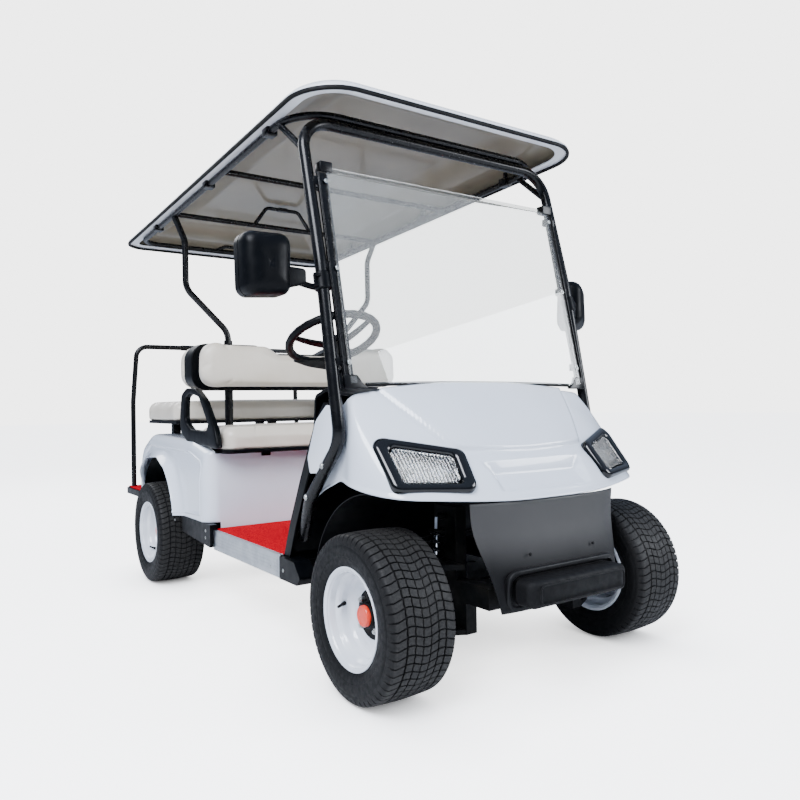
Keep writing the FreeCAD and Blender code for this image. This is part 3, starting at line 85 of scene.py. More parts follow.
def finish(name, colour, tones=None, matte=None, grains=(), **sockets):
    """A finish from its colour and shader sockets, whose names have _ for a space.

    tones is (second colour, patch size in mm, low, high): a noise of that size mixes the two colours.
    matte is (patch size in mm, least, most): a noise that varies the roughness.
    Each grain is (pattern, size in mm, depth in mm) and maybe its stretch: a bump of that real size.
    """
    made = bpy.data.materials.new(name)
    made.use_nodes = True
    tree = made.node_tree
    tree.nodes.clear()
    values = {socket.replace("_", " "): value for socket, value in sockets.items()}
    skin = add(tree, "BsdfPrincipled", {"Base Color": linear(colour), **values})
    add(tree, "OutputMaterial", {"Surface": skin.outputs[0]})
    place = add(tree, "TexCoord").outputs["Object"]
    noise = lambda size, detail: add(tree, "TexNoise", {"Vector": place, "Scale": 1000 / size, "Detail": detail})
    if tones:
        second, size, low, high = tones
        ramp = add(tree, "ValToRGB", {"Fac": noise(size, 4.0).outputs["Fac"]})
        for stop, (spot, shade) in zip(ramp.color_ramp.elements, ((low, second), (high, colour))):
            stop.position, stop.color = spot, linear(shade)
        tree.links.new(ramp.outputs["Color"], skin.inputs["Base Color"])
    if matte:
        size, least, most = matte
        spread = add(tree, "MapRange", {"Value": noise(size, 2.0).outputs["Fac"], "From Min": 0.3, "From Max": 0.7,
                                        "To Min": least, "To Max": most})
        tree.links.new(spread.outputs["Result"], skin.inputs["Roughness"])
    before = None
    for pattern, size, depth, *stretch in grains:
        turned = add(tree, "Mapping", {"Vector": place, "Scale": stretch[0] if stretch else (1, 1, 1)})
        # A wave's own period is 0.314 at scale 1, where the other patterns have 1.
        kind, output, settings, scale = {"noise": ("TexNoise", "Fac", {"Detail": 3.0}, 1000),
                                         "cells": ("TexVoronoi", "Distance", {}, 1000),
                                         "flutes": ("TexWave", "Fac", {"Distortion": 0.4}, 314.16)}[pattern]
        texture = add(tree, kind, {"Vector": turned.outputs[0], **settings, "Scale": scale / size})
        bump = add(tree, "Bump", {"Height": texture.outputs[output], "Distance": depth / 1000, "Strength": 1.0})
        if before:
            tree.links.new(before.outputs[0], bump.inputs["Normal"])
        before = bump
    if before:
        tree.links.new(before.outputs[0], skin.inputs["Normal"])
    return made


GLOSS = {"Coat_Weight": 1.0, "Coat_Roughness": 0.04}
# Gloss-coated ABS: bright white with sharp highlights and a faint orange peel, drawn at 14 mm to show.
white_gelcoat = finish("white_gelcoat_abs", "#E9EFF8", ("#E0E8F3", 420, 0.3, 0.7), None, [("noise", 14, 0.05)],
                       Roughness=0.25, **GLOSS)
# The roof's outer skin: the same white, a little duller from weather.
roof_skin = finish("roof_white_abs", "#EFF1F3", ("#E2E5E9", 260, 0.3, 0.75), None, [("noise", 18, 0.06)],
                   Roughness=0.32, Coat_Weight=0.6, Coat_Roughness=0.15)
# The roof's glossy underside in warm grey.
roof_liner = finish("roof_liner_abs", "#857D6C", ("#7A7262", 300, 0.3, 0.7), None, [("noise", 20, 0.05)],
                    Roughness=0.3, Specular_IOR_Level=0.3, Coat_Weight=0.25, Coat_Roughness=0.08)
# Powder-coated steel tube: near-black with broad soft highlights and a fine pebble.
powder_black = finish("powder_coated_steel", "#020203", ("#040507", 60, 0.35, 0.7), (40, 0.22, 0.32),
                      [("noise", 6, 0.012)], Roughness=0.26, Specular_IOR_Level=0.3)
# Chassis steel: dull black paint with road dust.
chassis_black = finish("chassis_paint_steel", "#050607", ("#100F0C", 45, 0.3, 0.62), (30, 0.45, 0.7),
                       [("noise", 5, 0.2)], Roughness=0.55, Specular_IOR_Level=0.12)
# Marine vinyl over foam: warm white, leather grain of 2.5 mm cells, softly uneven sheen.
cream_vinyl = finish("cream_marine_vinyl", "#E2DACB", ("#D6CCBB", 130, 0.25, 0.75), (50, 0.32, 0.44),
                     [("cells", 2.5, 0.16), ("noise", 9, 0.2)], Roughness=0.36, Specular_IOR_Level=0.5,
                     Coat_Weight=0.3, Coat_Roughness=0.18)
# Needle-punched carpet: bright red fibres with darker gaps, tufts drawn at 4 mm.
red_carpet = finish("red_carpet", "#D0001E", ("#7C0012", 3.5, 0.34, 0.56), None,
                    [("noise", 4, 2.2), ("cells", 5, 1.2)], Roughness=1.0, Specular_IOR_Level=0.02)
# Mill-finish aluminium sheet: pale metal brushed along the cart.
mill_alloy = finish("brushed_aluminium", "#C6CACE", ("#AEB3B8", 40, 0.3, 0.7), (25, 0.28, 0.42),
                    [("noise", 2, 0.04, (1, 0.03, 1))], Metallic=1.0, Roughness=0.34)
# Textured ABS mouldings: charcoal black with a spark-eroded grain.
black_abs = finish("textured_black_abs", "#020305", ("#040609", 80, 0.3, 0.7), (30, 0.32, 0.44),
                   [("cells", 1.8, 0.03)], Roughness=0.4, Specular_IOR_Level=0.12)
# Polished black ABS of the lamp bezels.
gloss_black = finish("polished_black_abs", "#040506", ("#07080A", 70, 0.3, 0.7), None, [("noise", 12, 0.02)],
                     Roughness=0.1)
# The lower front panel: unpainted polypropylene, matte grey with soft wear; its colour runs to near black toward its
# foot, a painted shade.
grey_pp = finish("matte_grey_polypropylene", "#3A3D41", None, (90, 0.42, 0.58), [("cells", 1.6, 0.04)],
                 Roughness=0.5, Specular_IOR_Level=0.25)
# Moulded rubber of the bumper block and seals.
black_rubber = finish("moulded_rubber", "#070708", ("#0D0D0E", 40, 0.3, 0.7), (20, 0.52, 0.7),
                      [("noise", 2.5, 0.12)], Roughness=0.6, Specular_IOR_Level=0.2)
# Enamelled steel wheels: cool gloss white.
wheel_enamel = finish("white_wheel_enamel", "#EDF1F6", ("#E0E5EC", 90, 0.3, 0.7), None, [("noise", 8, 0.05)],
                      Roughness=0.22, **GLOSS)
# Injection-moulded centre caps in orange-red.
orange_cap = finish("orange_cap_abs", "#F23A14", ("#DE3210", 20, 0.3, 0.7), None, [("noise", 3, 0.06)],
                    Roughness=0.35, Coat_Weight=0.3)
# Zinc-plated fasteners and the chromed damper rod.
zinc = finish("zinc_plated_steel", "#C9CBC8", ("#A6A9A6", 6, 0.3, 0.7), (5, 0.24, 0.42), [("noise", 1.5, 0.03)],
              Metallic=1.0, Roughness=0.3)
chrome = finish("bright_chrome", "#F2F4F6", ("#E6E9EC", 15, 0.3, 0.7), None, [("noise", 6, 0.05)],
                Metallic=1.0, Roughness=0.06)
# Metallised reflector bowl behind the lens: stepped facets of 11 mm.
bowl_metal = finish("metallised_reflector", "#7E8790", ("#3C4248", 14, 0.4, 0.6), None, [("cells", 11, 2.2)],
                    Metallic=1.0, Roughness=0.16)
# Polycarbonate lens with moulded upright flutes 9 mm apart.
lens_clear = finish("fluted_polycarbonate", "#FFFFFF", None, None,
                    [("flutes", 9, 1.6), ("noise", 16, 1.0, (1, 1, 0.3))],
                    Roughness=0.03, IOR=1.58, Transmission_Weight=1.0)
# Acrylic pane: clear, with a faint grey haze, a painted reflection: a pale veil in place of the sky's reflection on the
# pane.
pane_acrylic = finish("acrylic_sheet", "#E6E9E9", None, (220, 0.0, 0.03), IOR=1.49, Transmission_Weight=0.94)
# Silvered mirror glass.
mirror_silver = finish("mirror_glass", "#DFE4E8", ("#D5DADF", 60, 0.3, 0.7), None, [("noise", 90, 0.02)],
                       Metallic=1.0, Roughness=0.03)
# Galvanised plate under the suspension: grey with a crystal spangle of 9 mm.
galvanised = finish("galvanised_sheet", "#8C8D8B", ("#6F706E", 9, 0.35, 0.65), (9, 0.42, 0.6),
                    [("cells", 9, 0.05)], Metallic=0.7, Roughness=0.5)
# Red acrylic of the tail lamps.
red_acrylic = finish("red_lamp_acrylic", "#B40A0A", ("#8E0606", 12, 0.35, 0.65), None, [("cells", 7, 0.4)],
                     Roughness=0.12, IOR=1.49, Coat_Weight=1.0)
# Vulcanised tyre rubber: black in the grooves and walls, greyer where the tread is scuffed.
tyre_rubber = finish("tyre_rubber", "#050506", None, (12, 0.5, 0.7), [("noise", 3, 0.2)],
                     Roughness=0.6, Specular_IOR_Level=0.22)


def blended(material, share, low, high):
    """Colours the material from low to high by a share, which is another node's output."""
    tree = material.node_tree
    mix = add(tree, "Mix", {"Factor": share, "A": linear(low), "B": linear(high)}, {"data_type": "RGBA"})
    tree.links.new(mix.outputs["Result"], shader_of(material).inputs["Base Color"])


tree = grey_pp.node_tree
height = add(tree, "SeparateXYZ", {"Vector": add(tree, "TexCoord").outputs["Object"]}).outputs["Z"]
# Painted shade: the panel's colour fades from grey to near black towards its foot.
fade = add(tree, "MapRange", {"Value": height, "From Min": 0.33, "From Max": 0.45},
           {"interpolation_type": "SMOOTHSTEP"})
blended(grey_pp, fade.outputs["Result"], "#060607", "#403F3E")
tree = tyre_rubber.node_tree
scuffs = add(tree, "Attribute", {}, {"attribute_name": "scuffed"})
dust = add(tree, "TexNoise", {"Vector": add(tree, "TexCoord").outputs["Object"], "Scale": 160.0, "Detail": 5.0})
blended(tyre_rubber, reckoned(tree, "MULTIPLY", scuffs.outputs["Fac"], dust.outputs["Fac"]), "#050506", "#383735")


# Shapes

def metres(points):
    """Points in mm (side, behind the front axle, height), moved into the frame and turned to metres."""
    return (np.asarray(points, float).reshape(-1, 3) - (0.0, MIDDLE, 0.0)) / 1000.0


def unit(vectors):
    """Vectors at length one."""
    vectors = np.asarray(vectors, float)
    return vectors / np.linalg.norm(vectors, axis=-1, keepdims=True)


def weave(rows, cols, close_rows=False, close_cols=False):
    """The four-cornered faces of a grid of points, joined end to end where it closes."""
    r = np.arange(rows if close_rows else rows - 1)[:, None]
    c = np.arange(cols if close_cols else cols - 1)[None, :]
    here, ahead, beside = r * cols, (r + 1) % rows * cols, (c + 1) % cols
    return np.stack(np.broadcast_arrays(here + c, ahead + c, ahead + beside, here + beside), -1).reshape(-1, 4)


def lofted(rows, close_rows=False, close_cols=True, caps=()):
    """A grid of points as a shape."""
    return rows.reshape(-1, 3), weave(*rows.shape[:2], close_rows, close_cols), list(caps)


def end_caps(rows):
    """The first and last row of a grid as faces."""
    count = rows.shape[1]
    return [np.arange(count), (len(rows) - 1) * count + np.arange(count)]


def gather(parts):
    """Several surfaces as one: points in a row and faces renumbered."""
    start, points, quads, caps = 0, [], [], []
    for p, q, c in parts:
        points.append(np.asarray(p, float).reshape(-1, 3))
        quads.append(q + start)
        caps += [np.asarray(cap) + start for cap in c]
        start += len(points[-1])
    return np.concatenate(points), np.concatenate(quads), caps


def mirrored(shape):
    """The shape seen in a mirror along the cart's middle."""
    return shape[0] * (-1, 1, 1), shape[1], shape[2]


def pair(*parts):
    """The shapes as one, with its mirror image."""
    shape = gather(parts)
    return gather([shape, mirrored(shape)])


def turned(shape, base, axis, degrees):
    """The shape turned about an axis through a base point."""
    axis, angle, base = unit(axis), radians(degrees), np.asarray(base, float)
    arm = shape[0] - base
    along = (arm @ axis)[:, None] * axis
    arm = arm - along
    return base + along + arm * cos(angle) + np.cross(axis, arm) * sin(angle), shape[1], shape[2]


def linked(name, data):
    """An object of this data in the scene."""
    made = bpy.data.objects.new(name, data)
    bpy.context.scene.collection.objects.link(made)
    return made


def dressed(name, mesh, material, node, body, crease):
    """A mesh as an object on its body: one material, smooth shading, edges over the crease angle sharp."""
    mesh.polygons.foreach_set("use_smooth", np.ones(len(mesh.polygons), bool))
    mesh.set_sharp_from_angle(angle=radians(crease))
    mesh.materials.clear()
    mesh.materials.append(material)
    made = linked(name, mesh)
    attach(made, body)
    if node:
        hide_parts(node)
    return made


def opened(mesh, dist):
    """A mesh opened for editing, with its doubles merged."""
    work = bmesh.new()
    work.from_mesh(mesh)
    bmesh.ops.remove_doubles(work, verts=work.verts, dist=dist)
    return work


def piece(name, shape, material, node=None, body="chassis", crease=35, closed=True, facing=None):
    """A piece from a shape, its doubles merged and its faces turned outwards, or towards facing if open."""
    points, quads, caps = shape
    mesh = bpy.data.meshes.new(name)
    mesh.from_pydata(metres(points).tolist(), [], quads.tolist() + [list(map(int, cap)) for cap in caps])
    work = opened(mesh, 3e-6)
    bmesh.ops.dissolve_degenerate(work, dist=1e-7, edges=work.edges)
    if closed:
        bmesh.ops.recalc_face_normals(work, faces=work.faces)
    elif facing is not None:
        way = np.mean([face.normal for face in work.faces], axis=0)
        if np.dot(way, facing) < 0:
            bmesh.ops.reverse_faces(work, faces=work.faces)
    work.to_mesh(mesh)
    work.free()
    return dressed(name, mesh, material, node, body, crease)


def reshaded(node, material, body="chassis", bevel=0.0):
    """A copy of a CAD node's own mesh with its doubles merged, its curved faces smooth and its edges softened."""
    mesh = NODES[node].data.copy()
    mesh.name = node + "_dressed"
    work = opened(mesh, 2e-6)
    bmesh.ops.dissolve_limit(work, angle_limit=radians(0.5), verts=work.verts, edges=work.edges)
    work.to_mesh(mesh)
    work.free()
    made = dressed(node + "_dressed", mesh, material, node, body, 32)
    if bevel:
        soft = made.modifiers.new("soft_edges", "BEVEL")
        soft.width, soft.segments, soft.limit_method = bevel / 1000, 2, "ANGLE"
        soft.angle_limit = radians(40)
        soft.harden_normals = True


def thicken(made, wall, inner=0, even=True):
    """Gives an open sheet its wall on the inner side, with the material slot moved on by inner."""
    wall_maker = made.modifiers.new("wall", "SOLIDIFY")
    wall_maker.thickness, wall_maker.offset = wall / 1000, -1
    wall_maker.material_offset, wall_maker.use_even_offset = inner, even


def through(points, count):
    """A smooth curve through points: cubic spans whose slopes keep the bend even, sampled evenly."""
    p = np.asarray(points, float)
    n = len(p)
    spans = np.eye(n) * 4 + np.eye(n, k=1) + np.eye(n, k=-1)
    spans[0, 0] = spans[-1, -1] = 2
    i = np.arange(n)
    pull = 3 * (p[np.minimum(i + 1, n - 1)] - p[np.maximum(i - 1, 0)])
    slope = np.linalg.solve(spans, pull.reshape(n, -1)).reshape(p.shape)
    t = np.linspace(0, n - 1, count)
    k = np.minimum(t.astype(int), n - 2)
    f = (t - k).reshape((-1,) + (1,) * (p.ndim - 1))
    return ((1 + 2 * f) * (1 - f) ** 2 * p[k] + f * (1 - f) ** 2 * slope[k]
            + f * f * (3 - 2 * f) * p[k + 1] - f * f * (1 - f) * slope[k + 1])


def rounded(corners, radii, closed=False, count=7):
    """Straight runs joined by arcs: count points on each arc of its own radius."""
    corners = np.asarray(corners, float)
    radii = np.broadcast_to(radii, len(corners))
    line = []
    for i, corner in enumerate(corners):
        if radii[i] <= 0 or (not closed and i in (0, len(corners) - 1)):
            line.append(corner[None])
            continue
        back, on = unit(corners[i - 1] - corner), unit(corners[(i + 1) % len(corners)] - corner)
        half = acos(float(np.clip(back @ on, -1, 1))) / 2
        middle = corner + unit(back + on) * radii[i] / sin(half)
        start = corner + back * radii[i] / tan(half) - middle
        turn = np.linspace(0, pi - 2 * half, count)[:, None]
        line.append(middle + start * np.cos(turn) - back * radii[i] * np.sin(turn))
    return np.concatenate(line)


def level_box(x0, x1, y0, y1, z, radii, count):
    """A rounded rectangle that lies level."""
    return rounded([(x0, y0, z), (x1, y0, z), (x1, y1, z), (x0, y1, z)], radii, True, count)


def upright_box(x0, x1, z0, z1, y, radii, count):
    """A rounded rectangle that stands across the cart."""
    return rounded([(x0, y, z0), (x1, y, z0), (x1, y, z1), (x0, y, z1)], radii, True, count)


def dense(outline, gap=30.0):
    """A closed outline with more points on its straight runs."""
    runs = []
    for a, b in zip(outline, np.roll(outline, -1, 0)):
        pieces = max(1, int(np.linalg.norm(b - a) / gap))
        runs.append(a + (b - a) * np.arange(pieces)[:, None] / pieces)
    return np.concatenate(runs)


def turns(count):
    """Equal angles round a full turn."""
    return np.arange(count) * 2 * pi / count


def ring(across, up=None, sides=20):
    """A round or oval section."""
    turn = turns(sides)
    return np.stack([across * np.cos(turn), (up or across) * np.sin(turn)], -1)


def bar(width, height, radius, steps=4):
    """A rounded rectangular section: four quarter circles about the corners' centres."""
    turn = np.linspace(0, pi / 2, steps + 1)
    arcs = [np.stack([sx * (width / 2 - radius) + radius * np.cos(turn + start),
                      sy * (height / 2 - radius) + radius * np.sin(turn + start)], -1)
            for sx, sy, start in ((1, 1, 0), (-1, 1, pi / 2), (-1, -1, pi), (1, -1, 1.5 * pi))]
    return np.concatenate(arcs)


def sweep(path, section, up=(0, 0, 1), closed=False):
    """A section carried along a path: its first axis stays square to the path and to up."""
    path = np.asarray(path, float)
    ahead = unit(np.roll(path, -1, 0) - np.roll(path, 1, 0) if closed else np.gradient(path, axis=0))
    side = unit(np.cross(ahead, np.broadcast_to(up, path.shape)))
    lift = np.cross(side, ahead)
    section = np.broadcast_to(section, (len(path),) + np.shape(section)[-2:])
    rows = path[:, None] + side[:, None] * section[..., :1] + lift[:, None] * section[..., 1:]
    return lofted(rows, closed, caps=[] if closed else end_caps(rows))


def tube(corners, radii, radius, up=(0, 0, 1), sides=20, closed=False, count=9):
    """A round tube along straight runs and arcs."""
    return sweep(rounded(corners, radii, closed, count), ring(radius, sides=sides), up, closed)


def slab(outline, push, edge=2.0, far=None, steps=3, crown=0.0, near_crown=0.0, rings=6):
    """A plate: a flat closed outline pushed along a vector.

    Both rims are quarter circles, drawn in by edge*(1 - sin t). A crown lifts a face towards its middle
    by crown*(1 - s*s), where s is the share of the way out from the outline's centre.
    """
    outline, push = np.asarray(outline, float), np.asarray(push, float)
    depth, way = np.linalg.norm(push), unit(push)
    ahead = unit(np.roll(outline, -1, 0) - np.roll(outline, 1, 0))
    inward = np.cross(way, ahead)
    area = np.cross(outline, np.roll(outline, -1, 0)).sum(0)
    inward = inward if area @ way > 0 else -inward
    far = edge if far is None else far
    t = np.linspace(0, pi / 2, steps + 1)
    drawn = np.concatenate([edge * (1 - np.sin(t)), far * (1 - np.cos(t))])[:, None, None]
    along = np.concatenate([edge * (1 - np.cos(t)), depth - far * (1 - np.sin(t))])[:, None, None]
    rows = outline + inward * drawn + way * along
    share = np.linspace(1, 0, rings + 1)[1:, None, None]
    first, last = rows[0], rows[-1]
    if crown:
        middle = last.mean(0)
        rows = np.concatenate([rows, middle + (last - middle) * share + way * crown * (1 - share ** 2)])
    if near_crown:
        middle = first.mean(0)
        cap = middle + (first - middle) * share - way * near_crown * (1 - share ** 2)
        rows = np.concatenate([cap[::-1], rows])
    caps = [cap for cap, crowned in zip(end_caps(rows), (near_crown, crown)) if not crowned]
    return lofted(rows, caps=caps)


def spin(profile, base, axis, sides=48):
    """A profile of (height, radius) turned about an axis through a base point."""
    profile, axis = np.asarray(profile, float), unit(axis)
    first = unit(np.cross(axis, (0.31, 0.17, 0.93) if abs(axis[2]) < 0.9 else (1, 0, 0)))
    second = np.cross(axis, first)
    turn = turns(sides)
    round_ = first * np.cos(turn)[:, None] + second * np.sin(turn)[:, None]
    return lofted(np.asarray(base, float) + axis * profile[:, None, :1] + round_ * profile[:, None, 1:])


def cone(start, end, radius, end_radius=None, edge=1.0, sides=32):
    """A closed round bar between two points with small rounded rims."""
    start, end = np.asarray(start, float), np.asarray(end, float)
    end_radius = radius if end_radius is None else end_radius
    length = np.linalg.norm(end - start)
    profile = [(0, 0), (0, radius - edge), (edge * 0.3, radius - edge * 0.3), (edge, radius),
               (length - edge, end_radius), (length - edge * 0.3, end_radius - edge * 0.3),
               (length, end_radius - edge), (length, 0)]
    return spin(profile, start, end - start, sides)


def bolts(spots, radius, height, hexed=False):
    """Fastener heads on their spots: each is (place, direction it faces)."""
    sides = 6 if hexed else 14
    dome = [(0, radius * 1.25), (0.8, radius * 1.25), (0.8, radius)] + (
        [(height, radius), (height, 0)] if hexed else
        [(height * 0.55, radius * 0.86), (height * 0.9, radius * 0.5), (height * 0.9, radius * 0.28),
         (height * 0.4, radius * 0.2), (height * 0.4, 0)])
    return gather([spin([(0, 0)] + dome, np.asarray(place) - 0.5 * unit(way), way, sides) for place, way in spots])


def relief(grid, height):
    """Moves a grid of points along its own surface normals by a height at each point."""
    return grid + unit(np.cross(np.gradient(grid, axis=0), np.gradient(grid, axis=1))) * height[..., None]


def soft_step(value):
    """0 below 0, 1 above 1 and smooth between."""
    value = np.clip(value, 0, 1)
    return value * value * (3 - 2 * value)


# Wheels

TREAD_HALF, TREAD_RADIUS, GROOVE_DEPTH, PITCHES = 86.0, 229.4, 5.2, 60
# The long grooves: place across the tread and half width.
LONG_GROOVES = ((-60, 3.4), (-36, 2.6), (-12, 2.2), (12, 2.2), (36, 2.6), (60, 3.4))


def tyre_shape(centre):
    """A tyre as one closed grid: rows follow the chevron cross grooves, columns the long grooves.

    Each pitch has a cross groove between two of its rows. A row leads or lags by up to 5.5 mm in waves
    96 mm long across the tread, which draws the chevrons. The depth is the greater of the two grooves'.
    """
    cols = [(-TREAD_HALF, 0.0)]
    for middle, half in LONG_GROOVES:
        cols += [(middle - half, 0), (middle - half + 0.7, 1), (middle + half - 0.7, 1), (middle + half, 0)]
    cols = np.array(cols + [(TREAD_HALF, 0)])
    x = np.interp(np.linspace(0, len(cols) - 1, 2 * len(cols) - 1), np.arange(len(cols)), cols[:, 0])
    sunk = np.repeat(cols[:, 1], 2)[:-1].copy()
    sunk[1::2] = np.minimum(cols[:-1, 1], cols[1:, 1])
    crown = TREAD_RADIUS - 3.2 * (x / TREAD_HALF) ** 2
    wall = np.array([(90, 225.2), (95, 221.5), (98.5, 215.5), (100.8, 207), (102.2, 199), (102, 197.6), (102.7, 196.4),
                     (103, 188), (102.4, 176), (101.2, 168), (100.2, 166.8), (100.2, 165.4), (98.6, 156), (95.6, 147.5),
                     (92.4, 142.5), (90.2, 140.2), (89.8, 128.2), (74, 127.4), (86, 160), (88, 190), (80, 206)])
    side = np.concatenate([wall[::-1] * (-1, 1), np.stack([x, crown], -1), wall])
    cut = np.concatenate([np.zeros(len(wall)), sunk, np.zeros(len(wall))])
    ribs = np.clip((side[:, 1] - 199) / 18, 0, 1) * (np.abs(side[:, 0]) < 102.5) * (side[:, 1] > 207.5)
    ribs[:6] = ribs[-6:] = 0
    phase = np.array([(0, 0), (0.04, 1), (0.16, 1), (0.2, 0), (0.6, 0)])
    turn = (np.arange(PITCHES)[:, None] + phase[:, 0]).ravel() * 2 * pi / PITCHES
    cross = np.tile(phase[:, 1], PITCHES)
    lead = 5.5 * np.cos(2 * pi * np.clip(side[:, 0], -TREAD_HALF, TREAD_HALF) / 96) / 229
    depth = np.maximum(cross[:, None] * ribs[None], cut[None]) * GROOVE_DEPTH
    sway = np.sin(turn * PITCHES)[:, None] * 1.1 * (np.abs(side[:, 0]) < 70)
    angle = turn[:, None] + lead
    radius = side[None, :, 1] - depth
    points = np.stack([np.broadcast_to(side[:, 0] + sway, radius.shape), radius * np.cos(angle),
                       radius * np.sin(angle)], -1) + centre
    scuffed = ((depth < 0.1) & (side[None, :, 1] > 222)) * 1.0 + 0.25 * ((side[None, :, 1] > 205) & (depth < 0.1))
    return lofted(points, True), np.clip(scuffed, 0, 1).ravel()


def wheel(corner, x, y, valve_angle):
    """A tyre on a pressed wheel with its rolled lip, stepped barrel, hub, cap, lug nuts and valve."""
    out = 1 if x > 0 else -1
    body, centre = "wheel_" + corner, np.array([x, y, HUB_HEIGHT])
    at = lambda reach, angle, radius: centre + (out * reach, radius * cos(angle), radius * sin(angle))
    turned_on = lambda profile, sides: spin(profile, centre, (out, 0, 0), sides)
    shape, scuffed = tyre_shape(centre)
    tread = piece("tread_" + corner, shape, tyre_rubber, "tyre_" + corner, body, crease=30)
    values = tread.data.attributes.new("scuffed", "FLOAT", "POINT")
    if len(values.data) == len(scuffed):
        values.data.foreach_set("value", scuffed.astype(np.float32))
    barrel = [(95, 140), (95, 136), (91, 129), (84, 124), (66, 122.5), (58, 115), (52, 112), (34, 110), (24, 105),
              (18.5, 92), (19, 66), (12, 66), (12, 100), (8, 104), (-50.8, 104), (-62, 123), (-91, 124), (-95, 133),
              (-95, 140), (-90.4, 139.6), (-90.1, 127.2), (-63, 127.2), (-50, 108.4), (20, 108.4), (36, 120),
              (64, 127.1), (90.1, 127.2), (90.4, 139.6)]
    rounds = [2.2, 2, 5, 6, 5, 4, 5, 7, 6, 6, 0, 0, 4, 4, 5, 5, 4, 3, 2.2, 1.5, 0, 3, 5, 5, 5, 4, 0, 1.5]
    line = rounded([(a, b, 0) for a, b in barrel], rounds, True, 5)[:, :2]
    piece("wheel_shell_" + corner, turned_on(np.concatenate([line, line[:1]]), 96), wheel_enamel,
          "rim_" + corner, body, crease=40)
    flange = turned_on([(12, 0), (12, 67), (20.5, 68), (22.5, 66), (23, 38), (26, 36), (38, 34), (41, 31),
                        (41.5, 0)], 64)
    drum = turned_on([(-12, 30), (-12, 76), (-9, 78), (10.5, 78), (10.5, 30)], 64)
    piece("hub_" + corner, gather([flange, drum]), chassis_black, None, body)
    quarters = np.radians([45, 135, 225, 315])
    nuts = [bolts([(at(21.5, a, 50.8), (out, 0, 0)) for a in quarters], 9, 14, True)]
    nuts += [cone(at(33.5, a, 50.8), at(40.5, a, 50.8), 5.5, sides=16) for a in quarters]
    piece("lug_nuts_" + corner, gather(nuts), zinc, None, body)
    cap = [(40, 0), (40, 28.5), (42, 29.5), (50, 28.5), (52.6, 26.5), (53, 22), (51.6, 20.8), (51.8, 10), (52, 0)]
    piece("hub_cap_" + corner, turned_on(cap, 48), orange_cap, None, body)
    a = radians(valve_angle)
    seat, tip = at(42, a, 110), at(74, a, 92)
    piece("valve_" + corner, gather([cone(seat, seat * 0.6 + tip * 0.4, 6.5, 5, sides=20),
                                     cone(seat * 0.65 + tip * 0.35, tip, 4.2, 4, sides=20)]), black_rubber, None, body)


for place in WHEELS:
    wheel(*place)


# Front body

COWL = np.array([
    [(0, -212, 531), (0, -166, 602), (0, -84, 682), (0, 18, 776), (0, 125, 866)],
    [(150, -208, 532), (150, -162, 603), (150, -82, 681), (149, 18, 775), (146, 125, 865)],
    [(288, -182, 538), (282, -142, 605), (272, -74, 676), (268, 20, 768), (262, 124, 857)],
    [(392, -150, 545), (390, -108, 613), (384, -44, 686), (376, 34, 766), (366, 123, 848)],
    [(472, -104, 551), (474, -62, 625), (470, 2, 700), (460, 62, 770), (446, 122, 840)],
    [(514, -22, 562), (513, 2, 632), (507, 38, 702), (496, 78, 768), (477, 124, 832)],
    [(522, 52, 573), (519, 62, 635), (511, 78, 700), (500, 100, 765), (483, 131, 825)],
    [(514, 101, 579), (511, 103, 637), (504, 108, 699), (496, 119, 761), (485, 138, 821)],
    [(504, 150, 582), (501, 143, 638), (496, 138, 698), (491, 138, 757), (485, 146, 816)],
    [(500, 200, 567), (498, 188, 620), (495, 173, 683), (491, 160, 746), (485, 151, 812)],
    [(498, 250, 550), (497, 233, 602), (494, 208, 668), (491, 182, 735), (485, 157, 809)],
    [(497, 301, 525), (496, 273, 590), (494, 237, 662), (491, 200, 734), (485, 162, 806)],
    [(497, 352, 500), (496, 313, 577), (494, 266, 655), (491, 218, 732), (485, 168, 803)]], float)
# Outer corners of a lamp bezel: outer top, inner top, inner bottom, outer bottom.
LAMP = np.array([(481, 15, 706), (258, -104, 668), (270, -176, 568), (478, -100, 578)], float)
LAMP_MIDDLE = LAMP.mean(0)
LAMP_OUT = unit(np.cross(LAMP[2] - LAMP[0], LAMP[3] - LAMP[1]))
LAMP_FLAT = LAMP - ((LAMP - LAMP_MIDDLE) @ LAMP_OUT)[:, None] * LAMP_OUT


def lamp_ring(inset, shift, side=0.0, radius=20.0):
    """The lamp's outline drawn in by an inset, by more at its sides, and moved out along its direction."""
    back, on = unit(np.roll(LAMP_FLAT, 1, 0) - LAMP_FLAT), unit(np.roll(LAMP_FLAT, -1, 0) - LAMP_FLAT)
    spread = np.linalg.norm(np.cross(back, on), axis=1, keepdims=True)
    width = inset + side * np.array([[0.0], [1.0], [0.0], [1.0]])
    corners = LAMP_FLAT + (back * width + on * np.roll(width, 1, 0)) / spread + LAMP_OUT * shift
    return rounded(corners, max(radius + 5 - inset * 0.45, 6), True, 8)


